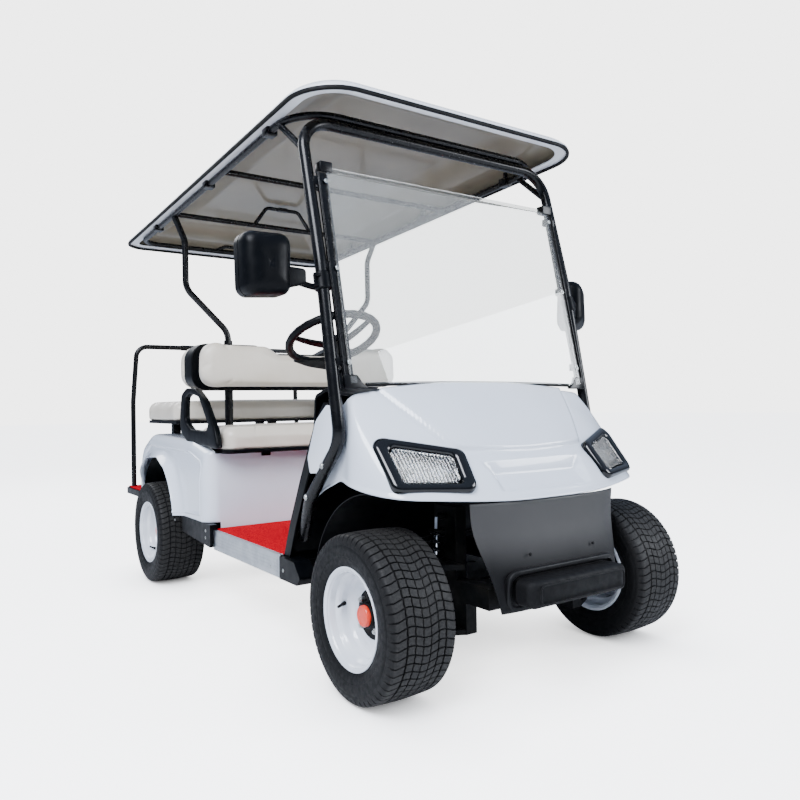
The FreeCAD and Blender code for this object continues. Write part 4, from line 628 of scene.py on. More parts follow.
def cowl():
    """The hood and fenders as one sheet: splines both ways through the stations, with shallow relief.

    A hood panel stands 11 mm proud between two creases that widen towards the windshield, and a
    number-plate rest is sunk 25 mm at its upper edge and runs out at its lower edge.
    """
    left = COWL[1:][::-1] * (-1, 1, 1)
    grid = through(np.concatenate([left, COWL]), 24 * 14 + 1)
    grid = through(grid.transpose(1, 0, 2), 89).transpose(1, 0, 2)
    row = np.broadcast_to(np.linspace(0, 4, 89)[None], grid.shape[:2])
    x = np.abs(grid[..., 0])
    side = np.interp(row, [1.7, 2.1, 2.83, 3.47, 4], [236, 266, 319, 359, 388])
    foot = 1.76 + 0.16 * (x / 230) ** 2
    proud, crease, sunk = 11, 2.5, 25
    raised = proud * soft_step((side - x) / 10) * soft_step((row - foot) / 0.09)
    raised -= crease * np.exp(-((x - side - 4) / 6) ** 2) * soft_step((row - foot) / 0.09)
    raised -= crease * np.exp(-((row - foot + 0.03) / 0.05) ** 2) * soft_step((side - x) / 10)
    rest = np.interp(row, [0.34, 0.44, 1.13, 1.16, 1.5], [0, 9, sunk, sunk, 0])
    rest = rest * soft_step((np.interp(row, [0.42, 1.13, 1.55], [184, 184, 210]) - x) / 12)
    lip = 3.0 * soft_step((0.24 - row) / 0.2)
    points, quads, _ = lofted(relief(grid, raised - rest + lip), close_cols=False)
    flat = points[quads].mean(1)
    flat[:, 0] = np.abs(flat[:, 0])
    drop = (flat - LAMP_MIDDLE) @ LAMP_OUT
    flat = flat - drop[:, None] * LAMP_OUT
    edge = lamp_ring(9, 0)
    ahead = np.roll(edge, -1, 0) - edge
    side_of = np.cross(ahead[None], flat[:, None] - edge[None]) @ LAMP_OUT
    within = np.all(side_of > 0, 1) | np.all(side_of < 0, 1)
    quads = quads[~(within & (np.abs(drop) < 90))]
    thicken(piece("hood_and_fenders", (points, quads, []), white_gelcoat, "front_cowl", crease=60, closed=False,
                  facing=(0, -0.7, 0.7)), 4)


def lamps():
    """Lamps: a polished bezel, a domed fluted lens, a bright bowl with steps, and two bulbs."""
    profile = [(-9, -34, 0), (-9, 2, 0), (-6, 8, 0), (1, 12, 1), (11, 11.5, 7), (16, 7, 10), (18, 1, 11),
               (20, -14, 11), (19, -40, 11), (8, -40, 0)]
    surround = lofted(np.stack([lamp_ring(*step) for step in profile]), True)
    piece("lamp_surrounds", pair(surround), gloss_black, "lamp_bezels", crease=38)
    lens = slab(lamp_ring(20, 0.5, 11), LAMP_OUT * 4, 1.0, crown=4, near_crown=-3.4)
    piece("fluted_lenses", pair(lens), lens_clear, "lamp_lenses", crease=50)
    depth = (20.5, -1), (23, -12), (30, -26), (31, -30), (40, -42)
    rows = np.stack([lamp_ring(inset, shift, 11) for inset, shift in depth])
    hub = rows[-1].mean(0) - LAMP_OUT * 8
    rows = np.concatenate([rows, hub + (rows[-1:] - hub) * 0.55, hub[None, None] + rows[-1:] * 0])
    thicken(piece("reflectors", pair(lofted(rows)), bowl_metal, "lamp_bowls", crease=20, closed=False), 1.5)
    across = unit(LAMP_FLAT[0] - LAMP_FLAT[1])
    bulbs = [spin([(0, 0), (0, 9), (12, 9), (18, 7), (24, 3), (25, 0)], LAMP_MIDDLE + across * s * 52 - LAMP_OUT * 50,
                  LAMP_OUT, 24) for s in (-1, 1)]
    piece("lamp_bulbs", pair(*bulbs), zinc)


def front_panel():
    """The matte panel under the hood: a spline sheet bowed in plan, wrapped round at its sides."""
    rows = []
    share = np.array([-1, -0.93, -0.75, -0.4, 0, 0.4, 0.75, 0.93, 1])
    for z, half, middle, edge in ((530, 292, -209, -178), (450, 284, -219, -180), (370, 264, -236, -204),
                                  (300, 247, -246, -224), (236, 235, -248, -238)):
        rows.append(np.stack([half * share, middle + (edge - middle) * share ** 4, np.full(9, z)], -1))
    grid = through(np.array(rows), 40)
    grid = through(grid.transpose(1, 0, 2), 81).transpose(1, 0, 2)
    thicken(piece("lower_front_panel", lofted(grid, close_cols=False), grey_pp, "front_panel", crease=60,
                  closed=False, facing=(0, -1, 0)), SHELL)
    holes = gather([cone((s * 129, -241, 385), (s * 129, -236, 385), 4.6, sides=20) for s in (-1, 1)])
    piece("panel_hole_plugs", holes, black_rubber)
    rim = rounded([(-212, -254, 342), (212, -254, 342), (212, -247, 244), (-212, -247, 244)], [30, 30, 26, 26], True, 9)
    rim[:, 1] += 14 * np.clip(np.abs(rim[:, 0]) / 212, 0, 1) ** 4
    piece("bumper_surround", sweep(rim, bar(16, 18, 5), (0, 1, 0), True), grey_pp)


def bumper():
    """The rubber block: a rounded outline pushed forward, its front face set in by a step."""
    bend, *faces = slab(upright_box(-197, 197, 328, 254, -248, 22, 8), (0, -71, 0), 2, 15, steps=6)
    bend[:, 1] += 18 * np.clip((np.abs(bend[:, 0]) - 140) / 57, 0, 1) ** 2 * np.clip((-250 - bend[:, 1]) / 60, 0, 1)
    piece("bumper_block", (bend, *faces), black_rubber, "front_bumper", crease=45)
    rib = sweep(upright_box(-168, 168, 317, 265, -318, 14, 6), ring(2.4, sides=10), (0, 1, 0), True)
    piece("bumper_face_rib", rib, black_rubber)


cowl()
lamps()
front_panel()
bumper()


# Tubes

ROOF_HALF, ROOF_FRONT, ROOF_REAR, EDGE_HEIGHT, EDGE_DROP = 586.0, 142.0, 2244.0, 1746.0, 96.0
FRONT_CORNER, REAR_CORNER = 170.0, 102.0
# The roof ring's half width, ends and tube, and the hoop: its pillars' side distance, top and tube.
RING_HALF, RING_FRONT, RING_REAR, RING_RADIUS = 533, 335, 2100, 12.5
PILLAR_SIDE, HOOP_TOP, HOOP_RADIUS = 526, 1700, 18.5


def roof_plane(y):
    """Height of the canopy's edge line."""
    return EDGE_HEIGHT - EDGE_DROP * (np.asarray(y, float) - ROOF_FRONT) / (ROOF_REAR - ROOF_FRONT)


def ring_height(y):
    """Centre height of the roof ring."""
    return float(HOOP_TOP + HOOP_RADIUS + RING_RADIUS + roof_plane(y) - roof_plane(RING_FRONT))


def tubes():
    """The hoop, roof ring, cross bars, struts and grab bar as round tubes swept along their bends."""
    x, wide, front, rear = PILLAR_SIDE, RING_HALF, RING_FRONT, RING_REAR
    there_and_back = lambda half: half + [(-a, b, c) for a, b, c in half[::-1]]
    line = there_and_back([(x - 40, 428, 380), (x, 300, 520), (x, 113, 702), (x, 215, 1238), (x, front, HOOP_TOP)])
    hoop = tube(line, [0, 120, 90, 900, 105, 105, 900, 90, 120, 0], HOOP_RADIUS, (0, -0.98, 0.19), 24, count=12)
    piece("windshield_hoop", hoop, powder_black, "front_hoop")
    level = lambda px, py, up=0: (px, py, ring_height(py) + up)
    parts = [tube([level(-wide, front), level(wide, front), level(wide, rear), level(-wide, rear)],
                  [150, 150, 90, 90], RING_RADIUS, (0, 0, 1), 18, True, 12)]
    parts += [tube([level(-wide, y), level(wide, y)], 0, 11.7, sides=16) for y in (960, 1560)]
    for y, up in ((1560, 92), (rear, 30)):
        parts.append(tube([level(-150, y), level(-84, y, up), level(84, y, up), level(150, y)], [0, 34, 34, 0], 9,
                          (0, 1, 0), 14))
        parts.append(slab(level_box(-26, 26, y - 13, y + 13, ring_height(y) + up - 8, 4, 4), (0, 0, 17), 2))
    for s in (-1, 1):
        parts.append(tube([(s * x, 318, 1602), level(s * wide, 470)], 0, 11, sides=14))
        for y in (540, 1120, 1800):
            parts.append(tube([level(s * wide, y), level(s * wide, y, 42)], 0, 9, (0, 1, 0), 14))
            clip = level_box(s * wide - 20, s * wide + 20, y - 22, y + 22, ring_height(y) - 16, 5, 4)
            parts.append(slab(clip, (0, 0, 34), 3))
    piece("roof_frame_tubes", gather(parts), powder_black, "roof_frame")
    foot = 680.4  # top of the rear body
    strut = tube([(300, 1530, 1080), (300, 1530, 1150), (486, 1558, 1345), (486, 1560, 1560),
                  (wide, 1562, ring_height(1562) - 7)], [0, 90, 90, 120, 0], 14, (0, 1, 0), 18, count=12)
    post = tube([(300, 1530, foot - 45), (300, 1530, 1112)], 0, 19, (0, 1, 0), 24)
    plate = slab(level_box(264, 336, 1500, 1560, foot, 10, 5), (0, 0, 8), 1.5)
    piece("roof_posts", pair(strut, post, plate), powder_black, "rear_struts")
    line = there_and_back([(500, 2425, 372), (500, 2425, 470), (495, 2442, 840), (478, 2418, 1145)])
    bar_shape = tube(line, [0, 200, 160, 60, 60, 160, 200, 0], 13, (0, 1, 0.1), 18, count=12)
    feet = [cone((s * 500, 2425, 372.2), (s * 500, 2425, 378), 27, sides=32) for s in (-1, 1)]
    grip = [tube([(-230, 2418, 1145), (230, 2418, 1145)], 0, 15.5, sides=18)]
    piece("grab_rail", gather([bar_shape] + feet + grip), powder_black, "grab_bar")


tubes()


# Canopy

def roof_outline(inset, count=14):
    """The canopy's plan: a rounded rectangle, wider rounds in front."""
    half, front, rear = ROOF_HALF - inset, FRONT_CORNER - inset, REAR_CORNER - inset
    return level_box(-half, half, ROOF_FRONT + inset, ROOF_REAR - inset, 0, [front, front, rear, rear], count)


def inside_edge(x, y):
    """How far a point lies inside the canopy's rounded outline."""
    middle, reach = (ROOF_FRONT + ROOF_REAR) / 2, (ROOF_REAR - ROOF_FRONT) / 2
    round_ = np.where(y > middle, REAR_CORNER, FRONT_CORNER)
    over_x, over_y = np.abs(x) - (ROOF_HALF - round_), np.abs(y - middle) - (reach - round_)
    corner = round_ - np.hypot(np.maximum(over_x, 0), np.maximum(over_y, 0))
    return np.where((over_x > 0) & (over_y > 0), corner, round_ - np.maximum(over_x, over_y))


def roof_height(x, y):
    """A rounded shoulder of 42 mm inside the edge, then a soft step up to the raised middle."""
    inside = inside_edge(x, y)
    return roof_plane(y) + 104 * (0.48 * (1 - np.exp(-inside / 42.0)) + 0.52 * soft_step((inside - 110) / 150.0))


def canopy():
    """One curved sheet: rings run from the outline in to a ridge line, and each takes the roof's height."""
    edge = dense(roof_outline(5), 70)
    spine = np.stack([edge[:, 0] * 0, np.clip(edge[:, 1], 720, 1660), edge[:, 2]], -1)
    share = np.concatenate([np.linspace(0, 0.18, 9), np.linspace(0.2, 0.62, 24), np.linspace(0.68, 1, 6)])
    plan = edge + (spine - edge) * share[:, None, None]
    plan[..., 2] = roof_height(plan[..., 0], plan[..., 1]) + 6
    skirt = np.stack([edge] * 2)
    skirt[..., 2] = roof_plane(edge[:, 1]) + np.array([[-4.0], [1.0]])
    made = piece("roof_sheet", lofted(np.concatenate([skirt, plan])), roof_skin, "canopy", crease=70,
                 closed=False, facing=(0, 0, 1))
    made.data.materials.append(roof_liner)
    thicken(made, SHELL, inner=1, even=False)
    lip = roof_outline(33)
    lip[:, 2] = roof_plane(lip[:, 1]) + 5
    piece("roof_inner_lip", sweep(lip, bar(44, 5, 2), closed=True), roof_skin)
    seal = roof_outline(6.5)
    seal[:, 2] = roof_plane(seal[:, 1]) - 1
    piece("roof_edge_seal", sweep(seal, bar(12, 13, 4), closed=True), black_rubber, "canopy_gasket")


canopy()


# Windshield

def pane_line(height):
    """How far behind the front axle the pane lies at a height: ahead of the pillars by their radius and 14 mm."""
    return 113 + 222 * (np.asarray(height, float) - 702) / 998 - HOOP_RADIUS - 14


def windshield():
    """A bowed-back acrylic pane between channels beside the pillars, with tabs, screws and a foot seal.

    Its side view is a straight run with an arc of 16 mm at the top, offset 2.4 mm to both sides.
    """
    low, bend, top, half = 868, 1519, 1545, 486
    line = rounded([(0, pane_line(low) - 2.5, low), (0, pane_line(bend) - 2.5, bend),
                    (0, pane_line(bend) + 23, top - 3)], [0, 16, 0], count=9)
    out = np.cross(unit(np.gradient(line, axis=0)), (1, 0, 0)) * 2.4
    edge = np.concatenate([line + out, (line - out)[::-1]])
    points, *faces = sweep([(-half, 0, 0), (half, 0, 0)], edge[:, 1:] * (-1, 1))
    points[:, 0] *= 1 - 8 / half * (points[:, 2] - low) / (top - low)
    piece("acrylic_pane", (points, *faces), pane_acrylic, "windshield", crease=50)
    channels, screws, tabs = [], [], []
    for s in (-1, 1):
        line = np.array([(s * 489.5, pane_line(z) + 6.4, z) for z in (890, 1515)])
        channels.append(sweep(line, bar(32, 11, 2), (0, -1, 0.2)))
        channels += [sweep(line + (wide, -7.5, 0), bar(4, 6, 1.2), (0, -1, 0.2)) for wide in (-13, 13)]
        for z in (930, 1215, 1490):
            y = pane_line(z)
            screws.append(((s * 482, y - 5.5, z), (0, -1, 0.2)))
            tabs.append(slab(upright_box(s * 474, s * 520, z - 13, z + 13, y + 4, 3, 3), (0, 22, 0), 1))
        corner = [(s * x, pane_line(level) - 7, z) for x, level, z in (
            (420, 862, 851), (506, 872, 851), (506, 900, 893), (462, 900, 893), (446, 872, 868))]
        tabs.append(slab(rounded(corner, 4, True, 4), (0, 15, 0), 2))
        tabs.append(slab(upright_box(s * 456, s * 500, 1520, 1552, pane_line(1530) - 9, 5, 4), (0, 34, 0), 2))
    piece("pane_channels", gather(channels + tabs), powder_black, "pane_clamps")
    piece("pane_screws", bolts(screws, 6, 4), zinc)
    foot = [(x, pane_line(868) + 4, z) for x, z in ((-430, 864), (-200, 869), (0, 870), (200, 869), (430, 864))]
    piece("pane_foot_seal", sweep(through(foot, 31), bar(10, 12, 4)), black_rubber)


windshield()


# Rear body, floor and trims

for node in ("chassis_frame", "front_arms", "rear_axle", "rear_springs", "floor_pan", "dash_panel", "fender_liners",
             "rocker_trims", "front_board", "rear_board", "seat_supports", "rear_step", "pedals", "battery_pack",
             "steering_column"):
    steel = node in ("chassis_frame", "front_arms", "rear_axle", "rear_springs", "pedals")
    reshaded(node, chassis_black if steel else black_abs, bevel=0 if node in ("fender_liners", "rear_springs") else 1.5)
for node in ("tie_rod", "knuckle_right", "knuckle_left"):
    reshaded(node, chassis_black, node)
reshaded("sill_plates", mill_alloy, bevel=2.0)


def tub():
    """The rear tub as one sheet: the side view's outline carried across, rounded over to each side wall and
    on to the wheel arch, where the wall flares out.

    A column is one point of the outline. Its rows are places across the tub, a quarter circle drawn in by
    r(1 - cos t), then steps towards the arch circle, where the wall stands out by 38(1 - d/52)^2.2 at
    distance d. A bead of 3.4 mm runs 13 mm inside the wall's edge.
    """
    def profile(inset):
        """The side view's outline drawn in by inset, always with the same number of points."""
        front, rear, up = 1125.0 + inset, 2090.0 - inset, inset
        return rounded([(0, front, 342), (0, front, 628 - up), (0, 1305, 666 - up), (0, 1890, 680 - up),
                        (0, 2030 - up * 0.4, 620 - up), (0, rear, 510 - up * 0.3), (0, rear, 342)],
                       [0, 12 + inset * 0.5, 200, 120, 90, 120, 0], count=10)[:, 1:]
    bases = [profile(0), profile(50)]
    steps = np.arange(len(bases[0]))
    tops = bases[0][:, 1] > 608
    stops = [np.interp(y, bases[0][tops, 0], steps[tops]) for y in (1175, 1375, 1461.7, 1462.3)]
    low = np.interp([346, 352, 358, 362, 366, 369, 372, 375, 378, 382, 388, 400], [342, 616], [0, 1])
    t = np.unique(np.concatenate([steps, low, np.linspace(0, steps[-1], 120), stops]))
    at_t = lambda line: np.stack([np.interp(t, steps, line[:, k]) for k in (0, 1)], -1)
    outline, drawn = at_t(bases[0]), at_t(bases[1])
    radius = 38 + 22 * soft_step((612 - outline[:, 1]) / 30) * (outline[:, 0] < 1200)
    inner = lambda inset: outline + (drawn - outline) * (inset / 50)[:, None]
    rows, half = [], 560
    for x in (0, 75, 150, 225, 300, 365, 429.8, 430.2, 480, 499, 500, 519.2, 519.8):
        line = outline.copy()
        if x < 519.8:
            line[:, 1] = np.where(line[:, 0] < 1462, np.minimum(line[:, 1], 618), line[:, 1])
        if x < 500:
            line[:, 1] -= 37 * np.clip((352 - line[:, 1]) / 10, 0, 1) * (line[:, 0] < 1200)
        rows.append(np.column_stack([np.minimum(x, half - radius), line]))
    for turn_ in np.linspace(0, pi / 2, 8)[1:]:
        rows.append(np.column_stack([half - radius * (1 - sin(turn_)), inner(radius * (1 - cos(turn_)))]))
    wall = rows[-1][:, 1:]
    centre, arch, flare, flare_reach, bead = np.array([1735.0, 285.0]), 305, 38, 52, 3.4
    angle = np.arctan2(wall[:, 1] - centre[1], centre[0] - wall[:, 0])
    ends = asin(57 / arch), pi - asin(57 / arch)
    angle = ends[0] + (angle - angle[0]) / (angle[-1] - angle[0]) * (ends[1] - ends[0])
    rim = centre + arch * np.stack([-np.cos(angle), np.sin(angle)], -1)
    total = np.linalg.norm(rim - wall, axis=1)
    near = [np.minimum(v, total * 0.42) for v in (3, 6, 9, 11, 13, 15, 17, 20, 24)]
    far = [total - np.minimum(v, total * 0.5) for v in (52, 45, 38, 31, 25, 19, 14, 9, 5, 2, 0)]
    mid = [near[-1] + (far[0] - near[-1]) * s for s in (0.12, 0.3, 0.5, 0.7, 0.88)]
    fade = 1 - 0.8 * soft_step((520 - rim[:, 1]) / 110) * (rim[:, 0] > 1735)
    beaded = soft_step((wall[:, 1] - 369) / 3) * (1 - soft_step((wall[:, 0] - 1950) / 40))
    foot = np.exp(-((wall[:, 1] - 371) / 4) ** 2) * (wall[:, 0] < 1500)
    for reach in near + mid + far:
        place = wall + (rim - wall) * (reach / total)[:, None]
        left = np.linalg.norm(place - centre, axis=1) - arch
        stands = flare * fade * np.clip(1 - left / flare_reach, 0, 1) ** 2.2
        stands += bead * beaded * np.exp(-((reach - 13) / 3.5) ** 2) + bead * foot * soft_step((reach - 10) / 4)
        stands -= 2.5 * beaded * soft_step((reach - 16) / 6) * soft_step((left - 46) / 16)
        rows.append(np.column_stack([half + stands, place]))
    tip = rows[-1]
    for back, drop in ((1.5, 1.5), (4, 2), (22, 2)):
        ring_ = centre + (tip[:, 1:] - centre) * (1 - drop / arch)
        rows.append(np.column_stack([tip[:, 0] - back, ring_]))
    rows = np.array(rows)
    points, quads, _ = lofted(np.concatenate([rows[:0:-1] * (-1, 1, 1), rows]), close_cols=False)
    middle = points[quads].mean(1)
    hatch = (np.abs(middle[:, 0]) < 430) & (middle[:, 1] > 1175) & (middle[:, 1] < 1375) & (middle[:, 2] > 600)
    thicken(piece("rear_tub", (points, quads[~hatch], []), white_gelcoat, "rear_body", crease=48,
                  closed=False, facing=(0, 0, 1)), SHELL, even=False)


def around(loop, turn, middle):
    """A loop of (behind, up) points as its distance from a middle point at each turn."""
    away = dense(loop, 5) - middle
    return np.interp(turn, np.arctan2(away[:, 1], away[:, 0]) % (2 * pi), np.linalg.norm(away, axis=1),
                     period=2 * pi)


def seat_shells():
    """The moulded shell behind the backrests, and the hip loops: a rounded bar section round each ring."""
    shell = slab(back_outline(1443, 4), (0, 135, 0), 5, 46, steps=7)
    piece("backrest_moulding", shell, black_abs, "backrest_shell", crease=50)
    flat = lambda points, radii: rounded([(y, z, 0) for y, z in points], radii, True, 9)[:, :2]
    outer = flat([(1034, 640), (1150, 644), (1400, 656), (1476, 690), (1494, 750), (1468, 862), (1400, 888),
                  (1285, 884), (1188, 838), (1066, 712)], [8, 60, 60, 30, 60, 36, 50, 60, 90, 60])
    inner = flat([(1142, 736), (1172, 708), (1345, 712), (1424, 748), (1414, 848), (1350, 864), (1246, 848)],
                 [12, 20, 40, 30, 30, 40, 40])
    middle, turn = np.array([1290.0, 778.0]), turns(144)
    out, back = around(outer, turn, middle), around(inner, turn, middle)
    across = turns(24)
    wide, high = (np.sign(f(across)) * np.abs(f(across)) ** 0.36 for f in (np.cos, np.sin))
    reach = (out + back)[:, None] / 2 + (out - back)[:, None] / 2 * wide
    rows = np.stack([531 + 13.5 * high + reach * 0, middle[0] + reach * np.cos(turn)[:, None],
                     middle[1] + reach * np.sin(turn)[:, None]], -1)
    piece("hip_loops", pair(lofted(rows, True)), black_abs, "hip_restraints", crease=60)


def dampers():
    """Front dampers: a body, a chromed rod, a coil spring on its two seats and the upper pin."""
    foot, head = np.array([284.0, 0, 161]), np.array([270.0, 0, 475])
    way, length = unit(head - foot), float(np.linalg.norm(head - foot))
    first = unit(np.cross(way, (0, 1, 0)))
    second = np.cross(way, first)
    turn = np.linspace(0, 7.5 * 2 * pi, 240)[:, None]
    rise = np.linspace(0.31, 0.86, 240)[:, None] * length
    coil = foot + way * rise + (first * np.cos(turn) + second * np.sin(turn)) * 19.5
    steel = [cone(foot, foot + way * length * 0.5, 15, edge=2), cone(foot, foot + way * 26, 12, edge=2),
             cone(foot + way * length * 0.28, foot + way * length * 0.30, 24, edge=1.5),
             cone(foot + way * length * 0.865, foot + way * length * 0.89, 24, edge=1.5),
             cone(head, (240.5, 0, 475), 9, edge=1)]
    piece("damper_bodies", pair(*steel), chassis_black, "front_dampers")
    piece("damper_springs", pair(sweep(coil, ring(4.3, sides=12), way)), powder_black)
    piece("damper_rods", pair(cone(foot + way * length * 0.48, head, 7)), chrome)


def mirrors():
    """Mirror housings: stepped rings from the glass rim to a domed front, on bent arms with clamps."""
    def at_ring(inset, y):
        """The housing's outline at y, drawn in by inset, with smaller corners the further in it lies."""
        line = [(636 + inset, y, 1122 + inset), (776 - inset, y, 1112 + inset), (780 - inset, y, 1296 - inset),
                (630 + inset, y, 1300 - inset)]
        return rounded(line, np.maximum(np.array([26, 30, 34, 34]) - inset * 0.5, 8), True, 9)
    steps = [(11, 254), (9.5, 260), (7, 262), (3, 262), (0.5, 259), (0, 254), (0, 232), (1.8, 231), (1.8, 227),
             (0, 226), (0.5, 206), (4, 192), (11, 181), (21, 173.5), (34, 169.5), (50, 168.2)]
    rows = np.stack([at_ring(*step) for step in steps])
    middle = rows[-1].mean(0)
    share = np.linspace(1, 0.04, 7)[1:, None, None]
    rows = np.concatenate([rows, middle + (rows[-1] - middle) * share])
    front = soft_step((236 - rows[..., 1]) / 40)
    rows[..., 1] -= 6 * front * soft_step((1204 - rows[..., 2]) / 9)
    shell = lofted(rows, caps=end_caps(rows))
    ear = rounded([(586, 186, 1158), (668, 186, 1136), (668, 186, 1206), (586, 186, 1202)], [10, 10, 10, 12], True, 5)
    arm = tube([(526, 208, 1152), (560, 212, 1156), (606, 214, 1166)], [0, 30, 0], 9.5, sides=18)
    knob = slab(ear, (0, 46, 0), 6, 8)
    clamp = spin([(4, 0), (4, 22.5), (7, 25.5), (54, 25.5), (57, 22.5), (57, 0)], (526, 196.5, 1141.5), (0, 14, 56), 36)
    pinch = gather([cone((540, 190, 1150 + up), (562, 190, 1150 + up), 5.5, sides=16) for up in (8, 38)])
    glass = slab(at_ring(11.4, 259), (0, -4, 0), 0.6)
    fold = ((526, 113, 702), (0, 102, 536), 35)
    solid = gather([shell, arm, knob, clamp, pinch])
    piece("mirror_housings", gather([mirrored(solid), turned(solid, *fold)]), black_abs, "mirrors")
    piece("mirror_faces", gather([mirrored(glass), turned(glass, *fold)]), mirror_silver, "mirror_glass")


def steering():
    """A padded rim, three dished spokes, the wide one towards the driver's left knee, and a domed hub."""
    centre, lean = np.array([-274.0, 589, 1044]), radians(63.2)
    axis = np.array([0, cos(lean), sin(lean)])
    across = unit(np.cross(axis, (1, 0, 0)))
    turn = turns(96)[:, None]
    round_ = np.cos(turn) * (1, 0, 0) + np.sin(turn) * across
    grip = ring(14.6, 14.0, 18) * (1 + 0.035 * np.cos(turn[:, :, None] * 24))
    parts = [sweep(centre + round_ * 160, grip, axis, True)]
    for degrees, wide in ((180, 40), (300, 40), (60, 76)):
        a = radians(degrees)
        way = np.array([cos(a), 0, 0]) + across * sin(a)
        path = through([centre - axis * drop + way * reach for drop, reach in ((27, 24), (26, 52), (18, 100), (8, 138),
                                                                               (3, 158))], 15)
        spread = np.interp(np.linspace(0, 1, 15), [0, 0.35, 0.8, 1], [wide, wide * 0.82, wide * 0.55, wide * 0.72])
        parts.append(sweep(path, np.stack([bar(w, 10, 4.4) for w in spread]), axis))
    hub = [(-34, 0), (-34, 41), (-31, 45.5), (-14, 45.5), (-10, 44), (-6, 38), (-4.4, 30), (-5.6, 27), (-5.6, 12),
           (-4.6, 0)]
    parts.append(spin(hub, centre, axis, 56))
    piece("wheel_and_spokes", gather(parts), black_abs, "steering_wheel", "steering_wheel", crease=50)


def trims():
    """Small fittings: tail lamps, sill ribs, screws, the lid's latch, kick panels and the skid plate."""
    def heads(spots, radius, height):
        """Fastener heads that face outwards on both sides."""
        return pair(bolts([(spot, (1, 0, 0)) for spot in spots], radius, height))

    tail = upright_box(430, 526, 394, 466, 2090.2, 18, 8)
    piece("tail_lamp_faces", pair(slab(tail, (0, 12, 0), 1, 5, crown=1.6)), red_acrylic, "tail_lamps")
    piece("tail_lamp_rims", pair(sweep(tail + (0, 4, 0), ring(3, sides=12), (0, 1, 0), True)), gloss_black)
    ribs = [sweep([(544.2, 505, z), (544.2, 1072, z)], bar(7, 1.6, 0.7), (1, 0, 0)) for z in (262, 274, 286, 298)]
    piece("sill_ribs", pair(*ribs), mill_alloy)
    spots = [(544.6, 558, 271), (544.6, 1058, 282), (546.4, 458, 274), (558.4, 1140, 312), (558.4, 1141, 284),
             (558.4, 1530, 308)]
    piece("trim_screws", heads(spots, 5, 3), zinc)
    piece("lid_latch", slab(upright_box(-322, -282, 600, 619, 1126, 3, 3), (0, -9, 0), 1, 2), black_abs)
    side = rounded([(528.6, y, z) for y, z in ((122, 800), (182, 806), (250, 758), (304, 645), (290, 598), (214, 604),
                                               (122, 700))], [4, 20, 50, 22, 8, 4, 0], True, 6)
    piece("kick_panels", pair(slab(side, (3.6, 0, 0), 0.6, 1.6)), white_gelcoat)
    piece("pillar_bolts", heads([(544.2, 192, 628), (544.2, 296, 526)], 8, 6), zinc)
    tray = rounded([(x, y, 200) for x, y in ((-240, 60), (240, 60), (240, 262), (300, 330), (300, 620), (-300, 620),
                                             (-300, 330), (-240, 262))], 12, True, 5)
    piece("skid_plate", slab(tray, (0, 0, 4), 1), galvanised)
    # Painted shade: dark pads mark the plate's slots, in place of the shade seen through the openings.
    slots = [slab(level_box(x - 42, x + 42, y - 9, y + 9, 204.2, 8.5, 6), (0, 0, 0.8), 0.3)
             for x, y in ((-110, 330), (110, 200), (200, 430))]
    piece("skid_plate_slots", gather(slots), chassis_black)


tub()
dampers()
mirrors()
steering()
trims()


def mats():
    """Carpet mats with rounded edges on the floor and the rear step."""
    for name, outline, node in (
            ("floor_carpet", level_box(-524, 524, 502, 1119, 313, 6, 4), "floor_mat"),
            ("step_carpet", level_box(-522, 522, 2158, 2474, 372, [10, 10, 26, 26], 8), "step_mat")):
        piece(name, slab(outline, (0, 0, 7), 1, 3), red_carpet, node)


mats()


# Seats

def points_of(mesh):
    """The mesh's points as an array."""
    flat = np.empty(len(mesh.vertices) * 3)
    mesh.vertices.foreach_get("co", flat)
    return flat.reshape(-1, 3)


def puffed(made, voxel=0.006, pressure=4.0, cap=0.012, frames=20):
    """Swells a closed mesh like a stuffed cover: remesh, cloth under pressure, no gravity, capped travel."""
    scene = bpy.context.scene
    bpy.context.view_layer.update()
    remesh = made.modifiers.new("even", "REMESH")
    remesh.mode, remesh.voxel_size = "VOXEL", voxel
    deps = bpy.context.evaluated_depsgraph_get()
    even = bpy.data.meshes.new_from_object(made.evaluated_get(deps))
    made.modifiers.remove(remesh)
    start = points_of(even)
    work = linked(made.name + "_cloth", even)
    cloth = work.modifiers.new("cloth", "CLOTH")
    cloth.settings.use_pressure = True
    cloth.settings.uniform_pressure_force = pressure
    cloth.settings.effector_weights.gravity = 0
    cloth.settings.quality = 4
    cloth.point_cache.frame_start, cloth.point_cache.frame_end = 1, frames
    for step in range(1, frames + 1):
        scene.frame_set(step)
    deps = bpy.context.evaluated_depsgraph_get()
    done = bpy.data.meshes.new_from_object(work.evaluated_get(deps))
    shift = points_of(done) - start
    reach = np.linalg.norm(shift, axis=1, keepdims=True)
    moved = start + shift * np.minimum(1, cap / np.maximum(reach, 1e-9))
    done.vertices.foreach_set("co", moved.ravel())
    done.polygons.foreach_set("use_smooth", np.ones(len(done.polygons), bool))
    done.materials.clear()
    done.materials.append(made.data.materials[0])
    bpy.data.objects.remove(work)
    scene.frame_set(1)
    made.data = done


def seat_pad(name, outline, push, crown, node, body="chassis"):
    edge, far = (8, 34) if push[2] else (6, 28)
    shape = slab(outline, push, edge, far, steps=7, crown=crown, near_crown=0.01, rings=9)
    made = piece(name, shape, cream_vinyl, node, body, crease=80)
    puffed(made)


def back_outline(y, inset):
    """The backrest's outline: raised shoulders, a dip in the middle, round lower corners."""
    half, foot, top = 508 - inset, 876 + inset, 1092 - inset
    points = [(-half, foot), (half, foot), (half, top), (196, top), (132, top - 36), (-132, top - 36), (-196, top),
              (-half, top)]
    return dense(rounded([(x, y, z) for x, z in points], [66, 66, 72, 60, 60, 60, 60, 72], True, 8))


